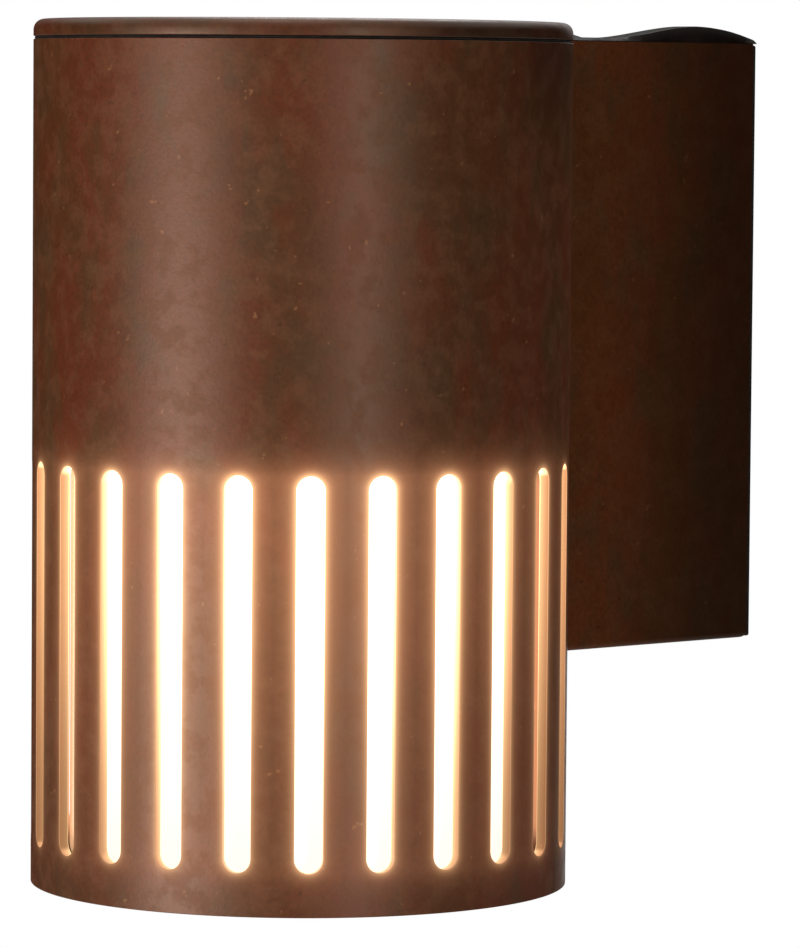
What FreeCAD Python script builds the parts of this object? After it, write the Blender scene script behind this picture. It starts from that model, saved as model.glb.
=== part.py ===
import FreeCAD, Part
import math
import os
import Sketcher
from FreeCAD import Placement, Rotation, Vector

# Outdoor wall lamp: a slotted tube on a box bracket. The wall is the plane y = 0, +Z is up,
# the lamp stands out along -Y and the origin is the middle of the wall plate's back.
# All lengths are millimetres, angles are degrees.

SIZES = (
    # slotted tube
    ("axis_depth", 100.0),
    ("tube_radius", 55.0),
    ("tube_wall", 2.0),
    ("tube_length", 172.2),
    ("slot_count", 18),
    ("slot_pitch", 15.0),
    ("slot_width", 5.8),
    ("slot_share", 0.455),
    ("slot_lift", 8.6),
    ("mouth_round", 0.5),
    # lid and seam
    ("lid_over_bracket", 3.5),
    ("lid_rim", 3.5),
    ("lid_round", 2.2),
    ("lid_skin", 2.6),
    ("seam_gap", 0.6),
    ("seam_inset", 0.8),
    ("spigot_depth", 5.0),
    ("spigot_wall", 2.0),
    ("boss_radius", 4.5),
    ("boss_length", 14.0),
    ("boss_floor", 3.0),
    ("tie_count", 3),
    # bracket housing
    ("bracket_width", 59.5),
    ("bracket_height", 126.0),
    ("bracket_wall", 2.5),
    ("bracket_round", 1.3),
    ("saddle_gap", 0.1),
    ("hook_rail_height", 3.0),
    ("hook_rail_depth", 3.0),
    ("hook_rail_drop", 6.0),
    ("hook_rail_gap", 0.6),
    ("tube_boss_radius", 4.2),
    ("tube_boss_length", 10.0),
    ("tube_boss_sink", 0.2),
    # crowned cap of the bracket
    ("cap_rim", 0.8),
    ("crown_rise", 2.7),
    ("crown_to_wall", 16.5),
    ("crown_run", 25.5),
    ("cap_wall_drop", 2.6),
    ("cheek_width", 8.5),
    ("cheek_round", 0.7),
    ("cap_rear_gap", 0.2),
    ("cap_skirt", 4.0),
    ("cap_skirt_wall", 1.6),
    # wall plate and gasket
    ("gasket_thickness", 1.2),
    ("gasket_inset", 0.3),
    ("gasket_band", 2.1),
    ("wall_plate_thickness", 1.5),
    ("wall_plate_gap", 0.7),
    ("wall_hole_spacing", 92.0),
    ("wall_hole_radius", 2.5),
    ("entry_height", 22.0),
    ("entry_boss_radius", 14.0),
    ("entry_boss_depth", 3.5),
    ("entry_recess_radius", 12.5),
    ("entry_hole_radius", 7.0),
    ("cable_radius", 4.0),
    ("grommet_flange", 3.0),
    ("grommet_lip", 1.5),
    ("foot_flange_depth", 14.0),
    ("foot_flange_inset", 4.3),
    ("foot_flange_lift", 3.5),
    ("hook_inset", 9.3),
    ("hook_depth", 7.5),
    ("hook_lip", 3.0),
    ("fixing_half_spacing", 12.0),
    ("fixing_depth", 8.0),
    ("fixing_length", 9.0),
    # terminals on the wall plate
    ("block_centre_x", -5.0),
    ("block_centre_z", -16.0),
    ("block_width", 23.0),
    ("block_height", 20.0),
    ("block_depth", 13.0),
    ("pole_half_spacing", 6.5),
    ("pole_depth", 8.5),
    ("barrel_radius", 3.0),
    ("barrel_length", 16.0),
    ("barrel_bore", 1.3),
    ("clamp_radius", 1.25),
    ("clamp_half_spacing", 4.0),
    ("clamp_head", 1.55),
    ("clamp_head_height", 0.8),
    ("clamp_length", 3.4),
    ("well_radius", 2.0),
    ("block_screw_radius", 1.4),
    ("block_screw_head", 2.2),
    ("block_screw_head_height", 1.8),
    ("block_screw_seat", 7.0),
    ("earth_inset", 8.3),
    ("earth_z", -16.0),
    ("tag_thickness", 0.8),
    ("tag_radius", 4.0),
    ("tag_reach", 8.0),
    ("tag_width", 3.0),
    # screws
    ("screw_radius", 2.0),
    ("screw_head", 3.6),
    ("screw_head_height", 2.4),
    ("sunk_depth", 2.05),
    ("sunk_gap", 0.15),
    ("small_screw_radius", 1.5),
    ("small_screw_head", 2.8),
    ("small_screw_head_height", 1.9),
    ("small_screw_length", 9.0),
    ("small_nut_flats", 5.5),
    ("small_nut_height", 2.4),
    ("slot_drive", 0.8),
    ("slot_drive_depth", 0.9),
    ("upper_screw_x", 11.0),
    ("upper_screw_drop", 12.4),
    ("lower_screw_lift", 18.7),
    # carrier plate
    ("plate_over_slots", 8.1),
    ("plate_thickness", 1.5),
    ("plate_edge_gap", 0.6),
    ("plate_bore_gap", 5.5),
    ("tab_width", 18.0),
    ("tab_over_screw", 8.0),
    ("tie_inset", 5.8),
    # diffuser and its clips
    ("light_gap", 6.0),
    ("cup_wall", 2.2),
    ("cup_floor", 2.5),
    ("cup_round", 4.0),
    ("cup_lift", 3.8),
    ("cup_flange", 3.6),
    ("cup_flange_thickness", 2.5),
    ("ring_gasket_thickness", 1.2),
    ("ring_gasket_width", 5.4),
    ("clip_thickness", 0.6),
    ("clip_width", 8.0),
    ("clip_tail", 2.2),
    ("clip_flare", 0.8),
    ("clip_foot", 15.0),
    ("clip_count", 4),
    ("clip_turn", 45.0),
    ("notch_gap", 0.3),
    ("rivet_inset", 11.4),
    ("rivet_radius", 1.5),
    ("rivet_head", 2.4),
    ("rivet_head_height", 0.9),
    # lampholder and bridge
    ("holder_lift", 9.5),
    ("holder_radius", 20.5),
    ("skirt_length", 23.5),
    ("skirt_bore", 14.5),
    ("holder_wall", 2.5),
    ("holder_cap_height", 18.5),
    ("holder_cap_straight", 10.6),
    ("holder_neck", 8.5),
    ("holder_dome", 1.8),
    ("shell_bore", 13.5),
    ("shell_wall", 0.8),
    ("shell_length", 22.5),
    ("shell_inset", 2.5),
    ("core_lift", 4.0),
    ("core_radius", 17.5),
    ("core_thickness", 6.0),
    ("core_bore", 15.0),
    ("leaf_thickness", 0.8),
    ("leaf_width", 6.0),
    ("leaf_half_length", 7.0),
    ("leaf_spring", 0.4),
    ("post_circle", 9.0),
    ("post_radius", 2.4),
    ("post_height", 3.4),
    ("nipple_radius", 5.0),
    ("nipple_bore", 3.6),
    ("nipple_engage", 2.5),
    ("nipple_stand", 4.0),
    ("nipple_nut_flats", 14.0),
    ("nipple_nut_height", 3.0),
    ("bridge_width", 14.0),
    ("bridge_thickness", 1.5),
    ("bridge_leg_share", 0.31),
    ("bridge_screw_share", 0.62),
    ("bridge_foot_share", 0.78),
    # bulb with a 27 mm screw cap
    ("bulb_length", 104.0),
    ("bulb_radius", 30.0),
    ("bulb_shell_radius", 13.1),
    ("bulb_shell_length", 21.5),
    ("bulb_shell_wall", 0.9),
    ("thread_pitch", 3.63),
    ("thread_turns", 5),
    ("thread_depth", 0.5),
    ("thread_groove", 1.2),
    ("thread_start", 3.0),
    ("bulb_contact_radius", 4.8),
    ("bulb_contact_height", 1.0),
    ("bulb_insulator_height", 2.5),
    ("bulb_insulator_radius", 10.4),
    ("bulb_collar_radius", 13.6),
    ("bulb_collar_length", 2.8),
    ("bulb_housing_length", 35.0),
    ("bulb_housing_wall", 1.6),
    ("bulb_housing_bow", 1.6),
    ("globe_wall", 1.3),
    ("led_board_gap", 1.25),
    ("led_board_thickness", 1.6),
    ("led_size", 2.8),
    ("led_height", 0.8),
    ("led_circle", 15.0),
    ("led_count", 12),
    # wires and rubber grommet in the tube's back
    ("wire_radius", 1.1),
    ("wire_spread", 1.3),
    ("wire_rise", 22.0),
    ("wire_slack_depth", 25.5),
    ("wire_wall_gap", 10.0),
    ("wire_arch_share", 0.7),
    ("wire_arch_reach", 24.0),
    ("earth_wire_drop", 2.2),
    ("earth_wire_rise", 24.0),
    ("earth_wire_dip", 4.4),
    ("earth_wire_end", 6.2),
    ("earth_wire_lift", 29.2),
    ("wire_hole_drop", 26.4),
    ("wire_hole_radius", 7.0),
    ("wire_grommet_flange", 2.0),
    ("wire_grommet_lip", 1.2),
    ("plate_earth_x", 13.0),
    ("plate_earth_share", 0.5),
    # clearances
    ("fit_gap", 0.05),
    ("loose_gap", 0.15),
    ("run_gap", 0.3),
    ("overrun", 5.0),
)


class Size:
    """A length with the expression that ties it to the sheet, so sums stay linked."""

    def __init__(self, value, text):
        self.value = float(value)
        self.text = text

    def __add__(self, other):
        other = as_size(other)
        return Size(self.value + other.value, f"({self.text} + {other.text})")

    def __sub__(self, other):
        other = as_size(other)
        return Size(self.value - other.value, f"({self.text} - {other.text})")

    def __mul__(self, other):
        other = as_size(other)
        return Size(self.value * other.value, f"({self.text} * {other.text})")

    def __truediv__(self, other):
        other = as_size(other)
        return Size(self.value / other.value, f"({self.text} / {other.text})")

    def __radd__(self, other):
        return as_size(other) + self

    def __rsub__(self, other):
        return as_size(other) - self

    def __rmul__(self, other):
        return as_size(other) * self

    def __neg__(self):
        return as_size(0) - self


def as_size(thing):
    if isinstance(thing, Size):
        return thing
    return Size(thing, f"({float(thing)})")


def root(size):
    return Size(math.sqrt(size.value), f"sqrt({size.text})")


def place_round(radius, index, count, first):
    """Where a piece stands on a circle about the tube's axis, as sizes across and along."""
    angle = as_size(first) + as_size(full_turn * index) / count
    across = Size(math.cos(math.radians(angle.value)), f"cos({angle.text} * 1 deg)")
    along = Size(math.sin(math.radians(angle.value)), f"sin({angle.text} * 1 deg)")
    return radius * across, tube_y + radius * along


def leg(long_side, short_side):
    """The other leg of a right triangle, used where a flat meets a round wall."""
    return root(long_side * long_side - short_side * short_side)


def fill_sheet(doc):
    sheet = doc.addObject("Spreadsheet::Sheet", "Sizes")
    for row, (alias, number) in enumerate(SIZES, 1):
        sheet.set(f"A{row}", alias)
        sheet.set(f"B{row}", str(number))
        sheet.setAlias(f"B{row}", alias)
    doc.recompute()
    return {alias: Size(number, f"Sizes.{alias}") for alias, number in SIZES}


os.makedirs("parts", exist_ok=True)
doc = FreeCAD.newDocument("wall_lamp")
S = fill_sheet(doc)
nodes = []

# heights and places that several pieces share
tolerance = 1e-4
full_turn = 360
wire_run_share = 0.45
tube_y = -S["axis_depth"]
tube_bore = S["tube_radius"] - S["tube_wall"]
bracket_half = S["bracket_width"] / 2
bracket_top = S["bracket_height"] / 2
bracket_bottom = -bracket_top
lid_top = bracket_top + S["lid_over_bracket"]
rim_bottom = lid_top - S["lid_rim"]
tube_top = rim_bottom - S["seam_gap"]
tube_bottom = tube_top - S["tube_length"]
slot_bottom = tube_bottom + S["slot_lift"]
slot_top = slot_bottom + S["tube_length"] * S["slot_share"]
plate_bottom = slot_top + S["plate_over_slots"]
plate_top = plate_bottom + S["plate_thickness"]
upper_screw_z = tube_top - S["upper_screw_drop"]
lower_screw_z = plate_bottom + S["lower_screw_lift"]
wire_hole_z = tube_top - S["wire_hole_drop"]
tab_face = leg(tube_bore, S["tab_width"] / 2) - S["loose_gap"] - S["plate_thickness"]
wall_plate_half = bracket_half - S["bracket_wall"] - S["wall_plate_gap"]
earth_x = wall_plate_half - S["earth_inset"]
lid_underside = lid_top - S["lid_skin"]
spigot_radius = tube_bore - S["loose_gap"]
saddle_radius = S["tube_radius"] + S["saddle_gap"]
saddle_back = saddle_radius + S["bracket_wall"]
holder_mouth = plate_top + S["holder_lift"]
holder_seam = holder_mouth + S["skirt_length"]
holder_top = holder_seam + S["holder_cap_height"]
core_bottom = holder_seam + S["core_lift"]
core_top = core_bottom + S["core_thickness"]
leaf_bottom = core_bottom - S["leaf_thickness"] - S["leaf_spring"]
bulb_top = leaf_bottom - S["run_gap"]
bridge_top = holder_top + S["bridge_thickness"]
nipple_top = bridge_top + S["nipple_stand"]
cup_radius = tube_bore - S["light_gap"]
cup_bore = cup_radius - S["cup_wall"]
tie_circle = cup_bore - S["tie_inset"]
clip_leg = cup_radius + S["cup_flange"] + S["run_gap"]
rivet_circle = clip_leg - S["rivet_inset"]
bridge_room = cup_bore - S["holder_radius"]
bridge_screw_x = S["holder_radius"] + bridge_room * S["bridge_screw_share"]
plate_bore = S["holder_radius"] + S["plate_bore_gap"]
plate_earth_y = leg(plate_bore + (cup_bore - plate_bore) * S["plate_earth_share"], S["plate_earth_x"])


def bind(thing, prop, size):
    """Sets a property from a size and keeps it tied to the sheet."""
    thing.setExpression(prop, as_size(size).text)


def keep(thing, label):
    """Names a finished sub-part, which gives its file name."""
    thing.Label = label
    nodes.append(thing)
    return thing


def new_body(name, y=0, x=0, z=0):
    body = doc.addObject("PartDesign::Body", name + "_body")
    for letter, size in (("x", x), ("y", y), ("z", z)):
        bind(body, f"Placement.Base.{letter}", size)
    return body


def plane_of(body, role):
    return next(feature for feature in body.Origin.OriginFeatures if feature.Role == role)


def new_sketch(body, role, lift=0, turn=None):
    """A sketch on an origin plane, turned about the body's Z axis. The normal of XZ is -Y."""
    sketch = body.newObject("Sketcher::SketchObject", "sketch")
    sketch.AttachmentSupport = [(plane_of(body, role), "")]
    sketch.MapMode = "FlatFace"
    if turn is not None:
        upright = Vector(0, 0, 1) if role == "XY_Plane" else Vector(0, 1, 0)
        sketch.AttachmentOffset = Placement(Vector(0, 0, 0), Rotation(upright, turn.value))
        bind(sketch, "AttachmentOffset.Rotation.Angle", turn)
    bind(sketch, "AttachmentOffset.Base.z", lift)
    return sketch


def pin_point(sketch, item, end, x, y):
    for kind, size in (("DistanceX", as_size(x)), ("DistanceY", as_size(y))):
        index = sketch.addConstraint(Sketcher.Constraint(kind, -1, 1, item, end, size.value))
        sketch.setExpression(f"Constraints[{index}]", size.text)


def outline(sketch, corners):
    """Closed outline. A corner is (x, y), or (x, y, bow) where the side after it is an arc
    that stands out by bow to the right of its way."""
    points = [(as_size(corner[0]), as_size(corner[1])) for corner in corners]
    first = sketch.GeometryCount
    starts = []
    for corner, here, after in zip(corners, points, points[1:] + points[:1]):
        start = Vector(here[0].value, here[1].value, 0)
        end = Vector(after[0].value, after[1].value, 0)
        if len(corner) < 3:
            sketch.addGeometry(Part.LineSegment(start, end), False)
            starts.append(1)
            continue
        way = (end - start).normalize()
        bow = as_size(corner[2]).value
        middle = (start + end) / 2 + Vector(way.y, -way.x, 0) * bow
        ends = (start, end) if bow > 0 else (end, start)
        sketch.addGeometry(Part.Arc(ends[0], middle, ends[1]), False)
        starts.append(1 if bow > 0 else 2)
    for index, start in enumerate(starts):
        after = (index + 1) % len(starts)
        sketch.addConstraint(Sketcher.Constraint(
            "Coincident", first + index, 3 - start, first + after, starts[after]))
        pin_point(sketch, first + index, start, *points[index])
        if len(corners[index]) == 3:
            pin_centre(sketch, first + index, points[index], points[after], as_size(corners[index][2]))
    return sketch


def pin_centre(sketch, item, start, end, bow):
    """Holds an arc by its centre, across the line between its ends."""
    run_x = end[0] - start[0]
    run_y = end[1] - start[1]
    chord = root(run_x * run_x + run_y * run_y)
    back = (chord * chord / 4 - bow * bow) / (2 * bow)
    if abs(run_x.value) >= abs(run_y.value):
        kind = "DistanceY"
        place = (start[1] + end[1]) / 2 + run_x / chord * back
    else:
        kind = "DistanceX"
        place = (start[0] + end[0]) / 2 - run_y / chord * back
    index = sketch.addConstraint(Sketcher.Constraint(kind, -1, 1, item, 3, place.value))
    sketch.setExpression(f"Constraints[{index}]", place.text)


def circle(sketch, radius, x=0, y=0):
    item = sketch.addGeometry(
        Part.Circle(Vector(as_size(x).value, as_size(y).value, 0), Vector(0, 0, 1), as_size(radius).value),
        False)
    pin_point(sketch, item, 3, x, y)
    index = sketch.addConstraint(Sketcher.Constraint("Radius", item, as_size(radius).value))
    sketch.setExpression(f"Constraints[{index}]", as_size(radius).text)
    return sketch


def box_outline(sketch, low_x, high_x, low_y, high_y):
    return outline(sketch, [(low_x, low_y), (high_x, low_y), (high_x, high_y), (low_x, high_y)])


def pad(body, sketch, length, both_ways=False, backwards=False):
    feature = body.newObject("PartDesign::Pad", "pad")
    feature.Profile = sketch
    bind(feature, "Length", length)
    feature.Midplane = both_ways
    feature.Reversed = backwards
    doc.recompute()
    return feature


def pocket(body, sketch, length, along_normal=False, both_ways=False):
    """Cuts against the sketch's normal, or along it, and makes sure that something was cut."""
    before = body.Tip.Shape.Volume
    feature = body.newObject("PartDesign::Pocket", "pocket")
    feature.Profile = sketch
    bind(feature, "Length", length)
    feature.Midplane = both_ways
    feature.Reversed = along_normal
    doc.recompute()
    if feature.Shape.Volume >= before:
        raise RuntimeError(f"{body.Name}: a pocket cuts nothing")
    return feature


def revolve(body, corners, role="XZ_Plane"):
    """Turns an outline about the sketch's upright axis."""
    sketch = outline(new_sketch(body, role), corners)
    feature = body.newObject("PartDesign::Revolution", "turning")
    feature.Profile = sketch
    feature.ReferenceAxis = (sketch, ["V_Axis"])
    feature.Angle = full_turn
    doc.recompute()
    return feature


def repeat_round(body, feature, count, angle=full_turn):
    """Copies a feature round the body's own Z axis over the whole angle."""
    pattern = body.newObject("PartDesign::PolarPattern", "round_pattern")
    pattern.Originals = [feature]
    pattern.Axis = (plane_of(body, "Z_Axis"), [""])
    bind(pattern, "Angle", angle)
    bind(pattern, "Occurrences", count)
    body.Tip = pattern
    doc.recompute()
    return pattern


def round_edges(body, radius, wanted):
    """Rounds the edges of the body's tip that the test picks."""
    return dress_edges(body, "PartDesign::Fillet", "Radius", radius, wanted)


def dress_edges(body, kind, prop, size, wanted):
    base = body.Tip
    names = [f"Edge{number}" for number, edge in enumerate(base.Shape.Edges, 1) if wanted(edge)]
    if not names:
        raise RuntimeError(f"{body.Name}: no edge to dress")
    feature = body.newObject(kind, "dressed_edges")
    feature.Base = (base, names)
    bind(feature, prop, size)
    doc.recompute()
    return feature


def at_height(edge, size):
    box = edge.BoundBox
    return abs(box.ZMin - size.value) < tolerance and abs(box.ZMax - size.value) < tolerance


def ring(label, inner, outer, low, high):
    """A plain ring about the tube's axis."""
    body = new_body(label, tube_y)
    revolve(body, [(inner, low), (outer, low), (outer, high), (inner, high)])
    return keep(body, label)


def group(label, members):
    compound = doc.addObject("Part::Compound", label + "_set")
    compound.Links = members
    return keep(compound, label)


def screw(name, head, head_height, radius, length, x, y, z, turn, sunk=False):
    """A screw along its own Z axis: its head stands on z = 0 and its shank goes down."""
    body = new_body(name, y, x, z)
    if sunk:
        corners = [(0, -length), (radius, -length), (radius, -head_height), (head, 0), (0, 0)]
        top = as_size(0)
    else:
        corners = [(0, -length), (radius, -length), (radius, 0), (head, 0), (head, head_height),
                   (0, head_height)]
        top = head_height
    revolve(body, corners)
    groove = new_sketch(body, "XY_Plane", top)
    half = S["slot_drive"] / 2
    box_outline(groove, -head - half, head + half, -half, half)
    pocket(body, groove, S["slot_drive_depth"])
    axis, angle = turn
    body.Placement.Rotation = Rotation(Vector(*axis), angle)
    return body


UPRIGHT = ((1, 0, 0), 0)
UPSIDE_DOWN = ((1, 0, 0), 180)
HEAD_TO_FRONT = ((1, 0, 0), 90)


def make_tube():
    body = new_body("slotted_tube", tube_y)
    rings = new_sketch(body, "XY_Plane", tube_bottom)
    circle(rings, S["tube_radius"])
    circle(rings, tube_bore)
    pad(body, rings, S["tube_length"])
    reach = S["tube_radius"] + S["overrun"]
    first_turn = -(S["slot_count"] - 1) * S["slot_pitch"] / 2
    slot = new_sketch(body, "XZ_Plane", turn=first_turn)
    half = S["slot_width"] / 2
    low = slot_bottom + half
    high = slot_top - half
    outline(slot, [(-half, low, half), (half, low), (half, high, half), (-half, high)])
    cut = pocket(body, slot, reach, along_normal=True)
    repeat_round(body, cut, S["slot_count"], (S["slot_count"] - 1) * S["slot_pitch"])
    holes = new_sketch(body, "XZ_Plane")
    circle(holes, S["wire_hole_radius"], 0, wire_hole_z)
    hole = S["screw_radius"] + S["loose_gap"]
    for x, z in tube_screw_places():
        circle(holes, hole, x, z)
    pocket(body, holes, reach)
    round_edges(body, S["mouth_round"], lambda edge: at_height(edge, tube_bottom)
                and abs(edge.Curve.Radius - S["tube_radius"].value) < tolerance)
    keep(body, "slotted_tube")


def make_lid():
    body = new_body("top_lid", tube_y)
    inner = spigot_radius - S["spigot_wall"]
    revolve(body, [
        (0, lid_top), (0, lid_underside), (inner, lid_underside), (inner, rim_bottom - S["spigot_depth"]),
        (spigot_radius, rim_bottom - S["spigot_depth"]), (spigot_radius, rim_bottom),
        (S["tube_radius"], rim_bottom), (S["tube_radius"], lid_top)])
    round_edges(body, S["lid_round"], lambda edge: at_height(edge, lid_top))
    boss = new_sketch(body, "XY_Plane", lid_underside)
    circle(boss, S["boss_radius"], 0, -tie_circle)
    repeat_round(body, pad(body, boss, S["boss_length"], backwards=True), S["tie_count"])
    hole = new_sketch(body, "XY_Plane", lid_underside - S["boss_length"])
    circle(hole, S["screw_radius"] + S["fit_gap"], 0, -tie_circle)
    cut = pocket(body, hole, S["boss_length"] - S["boss_floor"], along_normal=True)
    repeat_round(body, cut, S["tie_count"])
    keep(body, "top_lid")


def housing_plan(sketch, half, radius, rear):
    """Plan of the bracket: straight sides to the rear and a hollow front round the tube."""
    side_y = tube_y + leg(radius, half)
    bow = radius - leg(radius, half)
    outline(sketch, [(-half, side_y, -bow), (half, side_y), (half, rear), (-half, rear)])
    return sketch


def make_housing():
    body = new_body("bracket_housing")
    rear = -S["gasket_thickness"]
    plan = new_sketch(body, "XY_Plane", bracket_bottom)
    pad(body, housing_plan(plan, bracket_half, saddle_radius, rear), S["bracket_height"])
    round_edges(body, S["bracket_round"], lambda edge: at_height(edge, bracket_bottom)
                and edge.Curve.TypeId == "Part::GeomLine")
    hollow = new_sketch(body, "XY_Plane", bracket_top)
    housing_plan(hollow, bracket_half - S["bracket_wall"], saddle_back, S["overrun"])
    pocket(body, hollow, S["bracket_height"] - S["bracket_wall"])
    rail = new_sketch(body, "XZ_Plane", S["wall_plate_thickness"] + S["hook_rail_gap"])
    rail_top = bracket_top - S["hook_rail_drop"]
    box_outline(rail, -bracket_half + S["bracket_wall"] / 2, bracket_half - S["bracket_wall"] / 2,
                rail_top - S["hook_rail_height"], rail_top)
    pad(body, rail, S["hook_rail_depth"])
    bosses = new_sketch(body, "XZ_Plane", -(tube_y + saddle_radius + S["tube_boss_sink"]))
    for x, z in tube_screw_places():
        circle(bosses, S["tube_boss_radius"], x, z)
    pad(body, bosses, S["tube_boss_length"], backwards=True)
    holes = new_sketch(body, "XZ_Plane")
    for x, z in tube_screw_places():
        circle(holes, S["screw_radius"] + S["fit_gap"], x, z)
    circle(holes, S["wire_hole_radius"], 0, wire_hole_z)
    pocket(body, holes, S["axis_depth"] - S["tube_radius"] + S["overrun"], along_normal=True)
    fixing = new_sketch(body, "XY_Plane", bracket_bottom)
    hole = S["screw_radius"] + S["loose_gap"]
    for side in (-1, 1):
        circle(fixing, hole, side * S["fixing_half_spacing"], -S["fixing_depth"])
    pocket(body, fixing, S["bracket_wall"] + S["overrun"], along_normal=True)
    dress_edges(body, "PartDesign::Chamfer", "Size", S["sunk_depth"] + S["sunk_gap"],
                lambda edge: at_height(edge, bracket_bottom) and edge.Closed)
    keep(body, "bracket_housing")


def tube_screw_places():
    return (S["upper_screw_x"], upper_screw_z), (-S["upper_screw_x"], upper_screw_z), (0, lower_screw_z)


def tangent_bow(run, rise):
    """How far an arc stands out from its chord when it starts level and ends run along, rise up."""
    radius = (run * run + rise * rise) / (2 * rise)
    return radius - leg(radius, half_chord_of(run, rise))


def make_cap():
    """The cap is a thin lid whose two side cheeks swell up towards the wall, with a valley
    between them."""
    body = new_body("bracket_top_cap")
    low = bracket_top
    valley = low + S["cap_rim"]
    crown = valley + S["crown_rise"]
    rear = -S["cap_rear_gap"]
    front = tube_y + S["tube_radius"] / 2
    crown_y = -S["crown_to_wall"]
    half_run = S["crown_run"] / 2
    half_rise = S["crown_rise"] / 2
    rise_bow = tangent_bow(half_run, half_rise)
    fall_bow = tangent_bow(S["crown_to_wall"] - S["cap_rear_gap"], S["cap_wall_drop"])
    side = new_sketch(body, "YZ_Plane")
    outline(side, [
        (front, low), (rear, low), (rear, crown - S["cap_wall_drop"], fall_bow),
        (crown_y, crown, rise_bow), (crown_y - half_run, valley + half_rise, -rise_bow),
        (crown_y - S["crown_run"], valley), (front, valley)])
    pad(body, side, S["bracket_width"], both_ways=True)
    trough = new_sketch(body, "XY_Plane", valley)
    inner = bracket_half - S["cheek_width"]
    box_outline(trough, -inner, inner, front - S["overrun"], S["overrun"])
    pocket(body, trough, S["crown_rise"] + S["overrun"], along_normal=True)
    round_edges(body, S["cheek_round"], is_cheek_edge)
    bite = new_sketch(body, "XY_Plane", low - S["overrun"])
    circle(bite, saddle_radius + S["loose_gap"], 0, tube_y)
    pocket(body, bite, crown - low + S["overrun"] * 2, along_normal=True)
    skirt_half = bracket_half - S["bracket_wall"] - S["loose_gap"]
    skirt_front = saddle_back + S["loose_gap"]
    skirt_rear = -S["gasket_thickness"]
    wall = S["cap_skirt_wall"]
    skirt = new_sketch(body, "XY_Plane", low)
    housing_plan(skirt, skirt_half, skirt_front, skirt_rear)
    pad(body, skirt, S["cap_skirt"], backwards=True)
    hollow = new_sketch(body, "XY_Plane", low - S["cap_skirt"])
    housing_plan(hollow, skirt_half - wall, skirt_front + wall, skirt_rear - wall)
    pocket(body, hollow, S["cap_skirt"], along_normal=True)
    keep(body, "bracket_top_cap")


def is_cheek_edge(edge):
    """The outer upper edges of the two cheeks."""
    box = edge.BoundBox
    on_side = abs(abs(box.XMin) - bracket_half.value) < tolerance and box.XLength < tolerance
    on_top = box.ZMax > bracket_top.value + tolerance
    return on_side and on_top and box.YLength > tolerance


def make_wall_gasket():
    body = new_body("wall_gasket")
    frame = new_sketch(body, "XZ_Plane")
    wide = bracket_half - S["gasket_inset"]
    tall = bracket_top - S["gasket_inset"]
    box_outline(frame, -wide, wide, -tall, tall)
    box_outline(frame, -wide + S["gasket_band"], wide - S["gasket_band"],
                -tall + S["gasket_band"], tall - S["gasket_band"])
    pad(body, frame, S["gasket_thickness"])
    keep(body, "wall_gasket")


def make_wall_plate():
    body = new_body("wall_plate")
    plate_thickness = S["wall_plate_thickness"]
    low = bracket_bottom + S["foot_flange_lift"]
    high = bracket_top - S["hook_rail_drop"] - S["hook_rail_height"] - S["fit_gap"]
    sheet = new_sketch(body, "XZ_Plane")
    box_outline(sheet, -wall_plate_half, wall_plate_half, low, high)
    pad(body, sheet, plate_thickness)
    flange = new_sketch(body, "XY_Plane", low)
    flange_half = wall_plate_half - S["foot_flange_inset"]
    box_outline(flange, -flange_half, flange_half, -S["foot_flange_depth"], 0)
    pad(body, flange, plate_thickness)
    hook = new_sketch(body, "YZ_Plane")
    front = -S["hook_depth"]
    outline(hook, [
        (0, high), (0, high - plate_thickness), (front, high - plate_thickness),
        (front, high + S["hook_lip"]), (front + plate_thickness, high + S["hook_lip"]),
        (front + plate_thickness, high)])
    pad(body, hook, (wall_plate_half - S["hook_inset"]) * 2, both_ways=True)
    boss = new_sketch(body, "XZ_Plane")
    circle(boss, S["entry_boss_radius"], 0, S["entry_height"])
    pad(body, boss, S["entry_boss_depth"])
    recess = new_sketch(body, "XZ_Plane")
    circle(recess, S["entry_recess_radius"], 0, S["entry_height"])
    pocket(body, recess, S["entry_boss_depth"] - plate_thickness, along_normal=True)
    holes = new_sketch(body, "XZ_Plane")
    circle(holes, S["entry_hole_radius"], 0, S["entry_height"])
    circle(holes, S["wall_hole_radius"], 0, S["wall_hole_spacing"] / 2)
    circle(holes, S["wall_hole_radius"], 0, -S["wall_hole_spacing"] / 2)
    circle(holes, S["block_screw_radius"] + S["fit_gap"], S["block_centre_x"], S["block_centre_z"])
    circle(holes, S["screw_radius"] + S["fit_gap"], earth_x, S["earth_z"])
    pocket(body, holes, S["entry_boss_depth"] + S["overrun"], along_normal=True)
    fixing = new_sketch(body, "XY_Plane", low)
    hole = S["screw_radius"] + S["fit_gap"]
    for side in (-1, 1):
        circle(fixing, hole, side * S["fixing_half_spacing"], -S["fixing_depth"])
    pocket(body, fixing, plate_thickness + S["overrun"], along_normal=True)
    keep(body, "wall_plate")


def turned_along_y(label, z, corners):
    """A turned piece whose axis runs along Y: its outline is (radius, y)."""
    body = new_body(label, z=z)
    sketch = outline(new_sketch(body, "XY_Plane"), corners)
    feature = body.newObject("PartDesign::Revolution", "turning")
    feature.Profile = sketch
    feature.ReferenceAxis = (sketch, ["V_Axis"])
    feature.Angle = full_turn
    doc.recompute()
    return keep(body, label)


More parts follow.
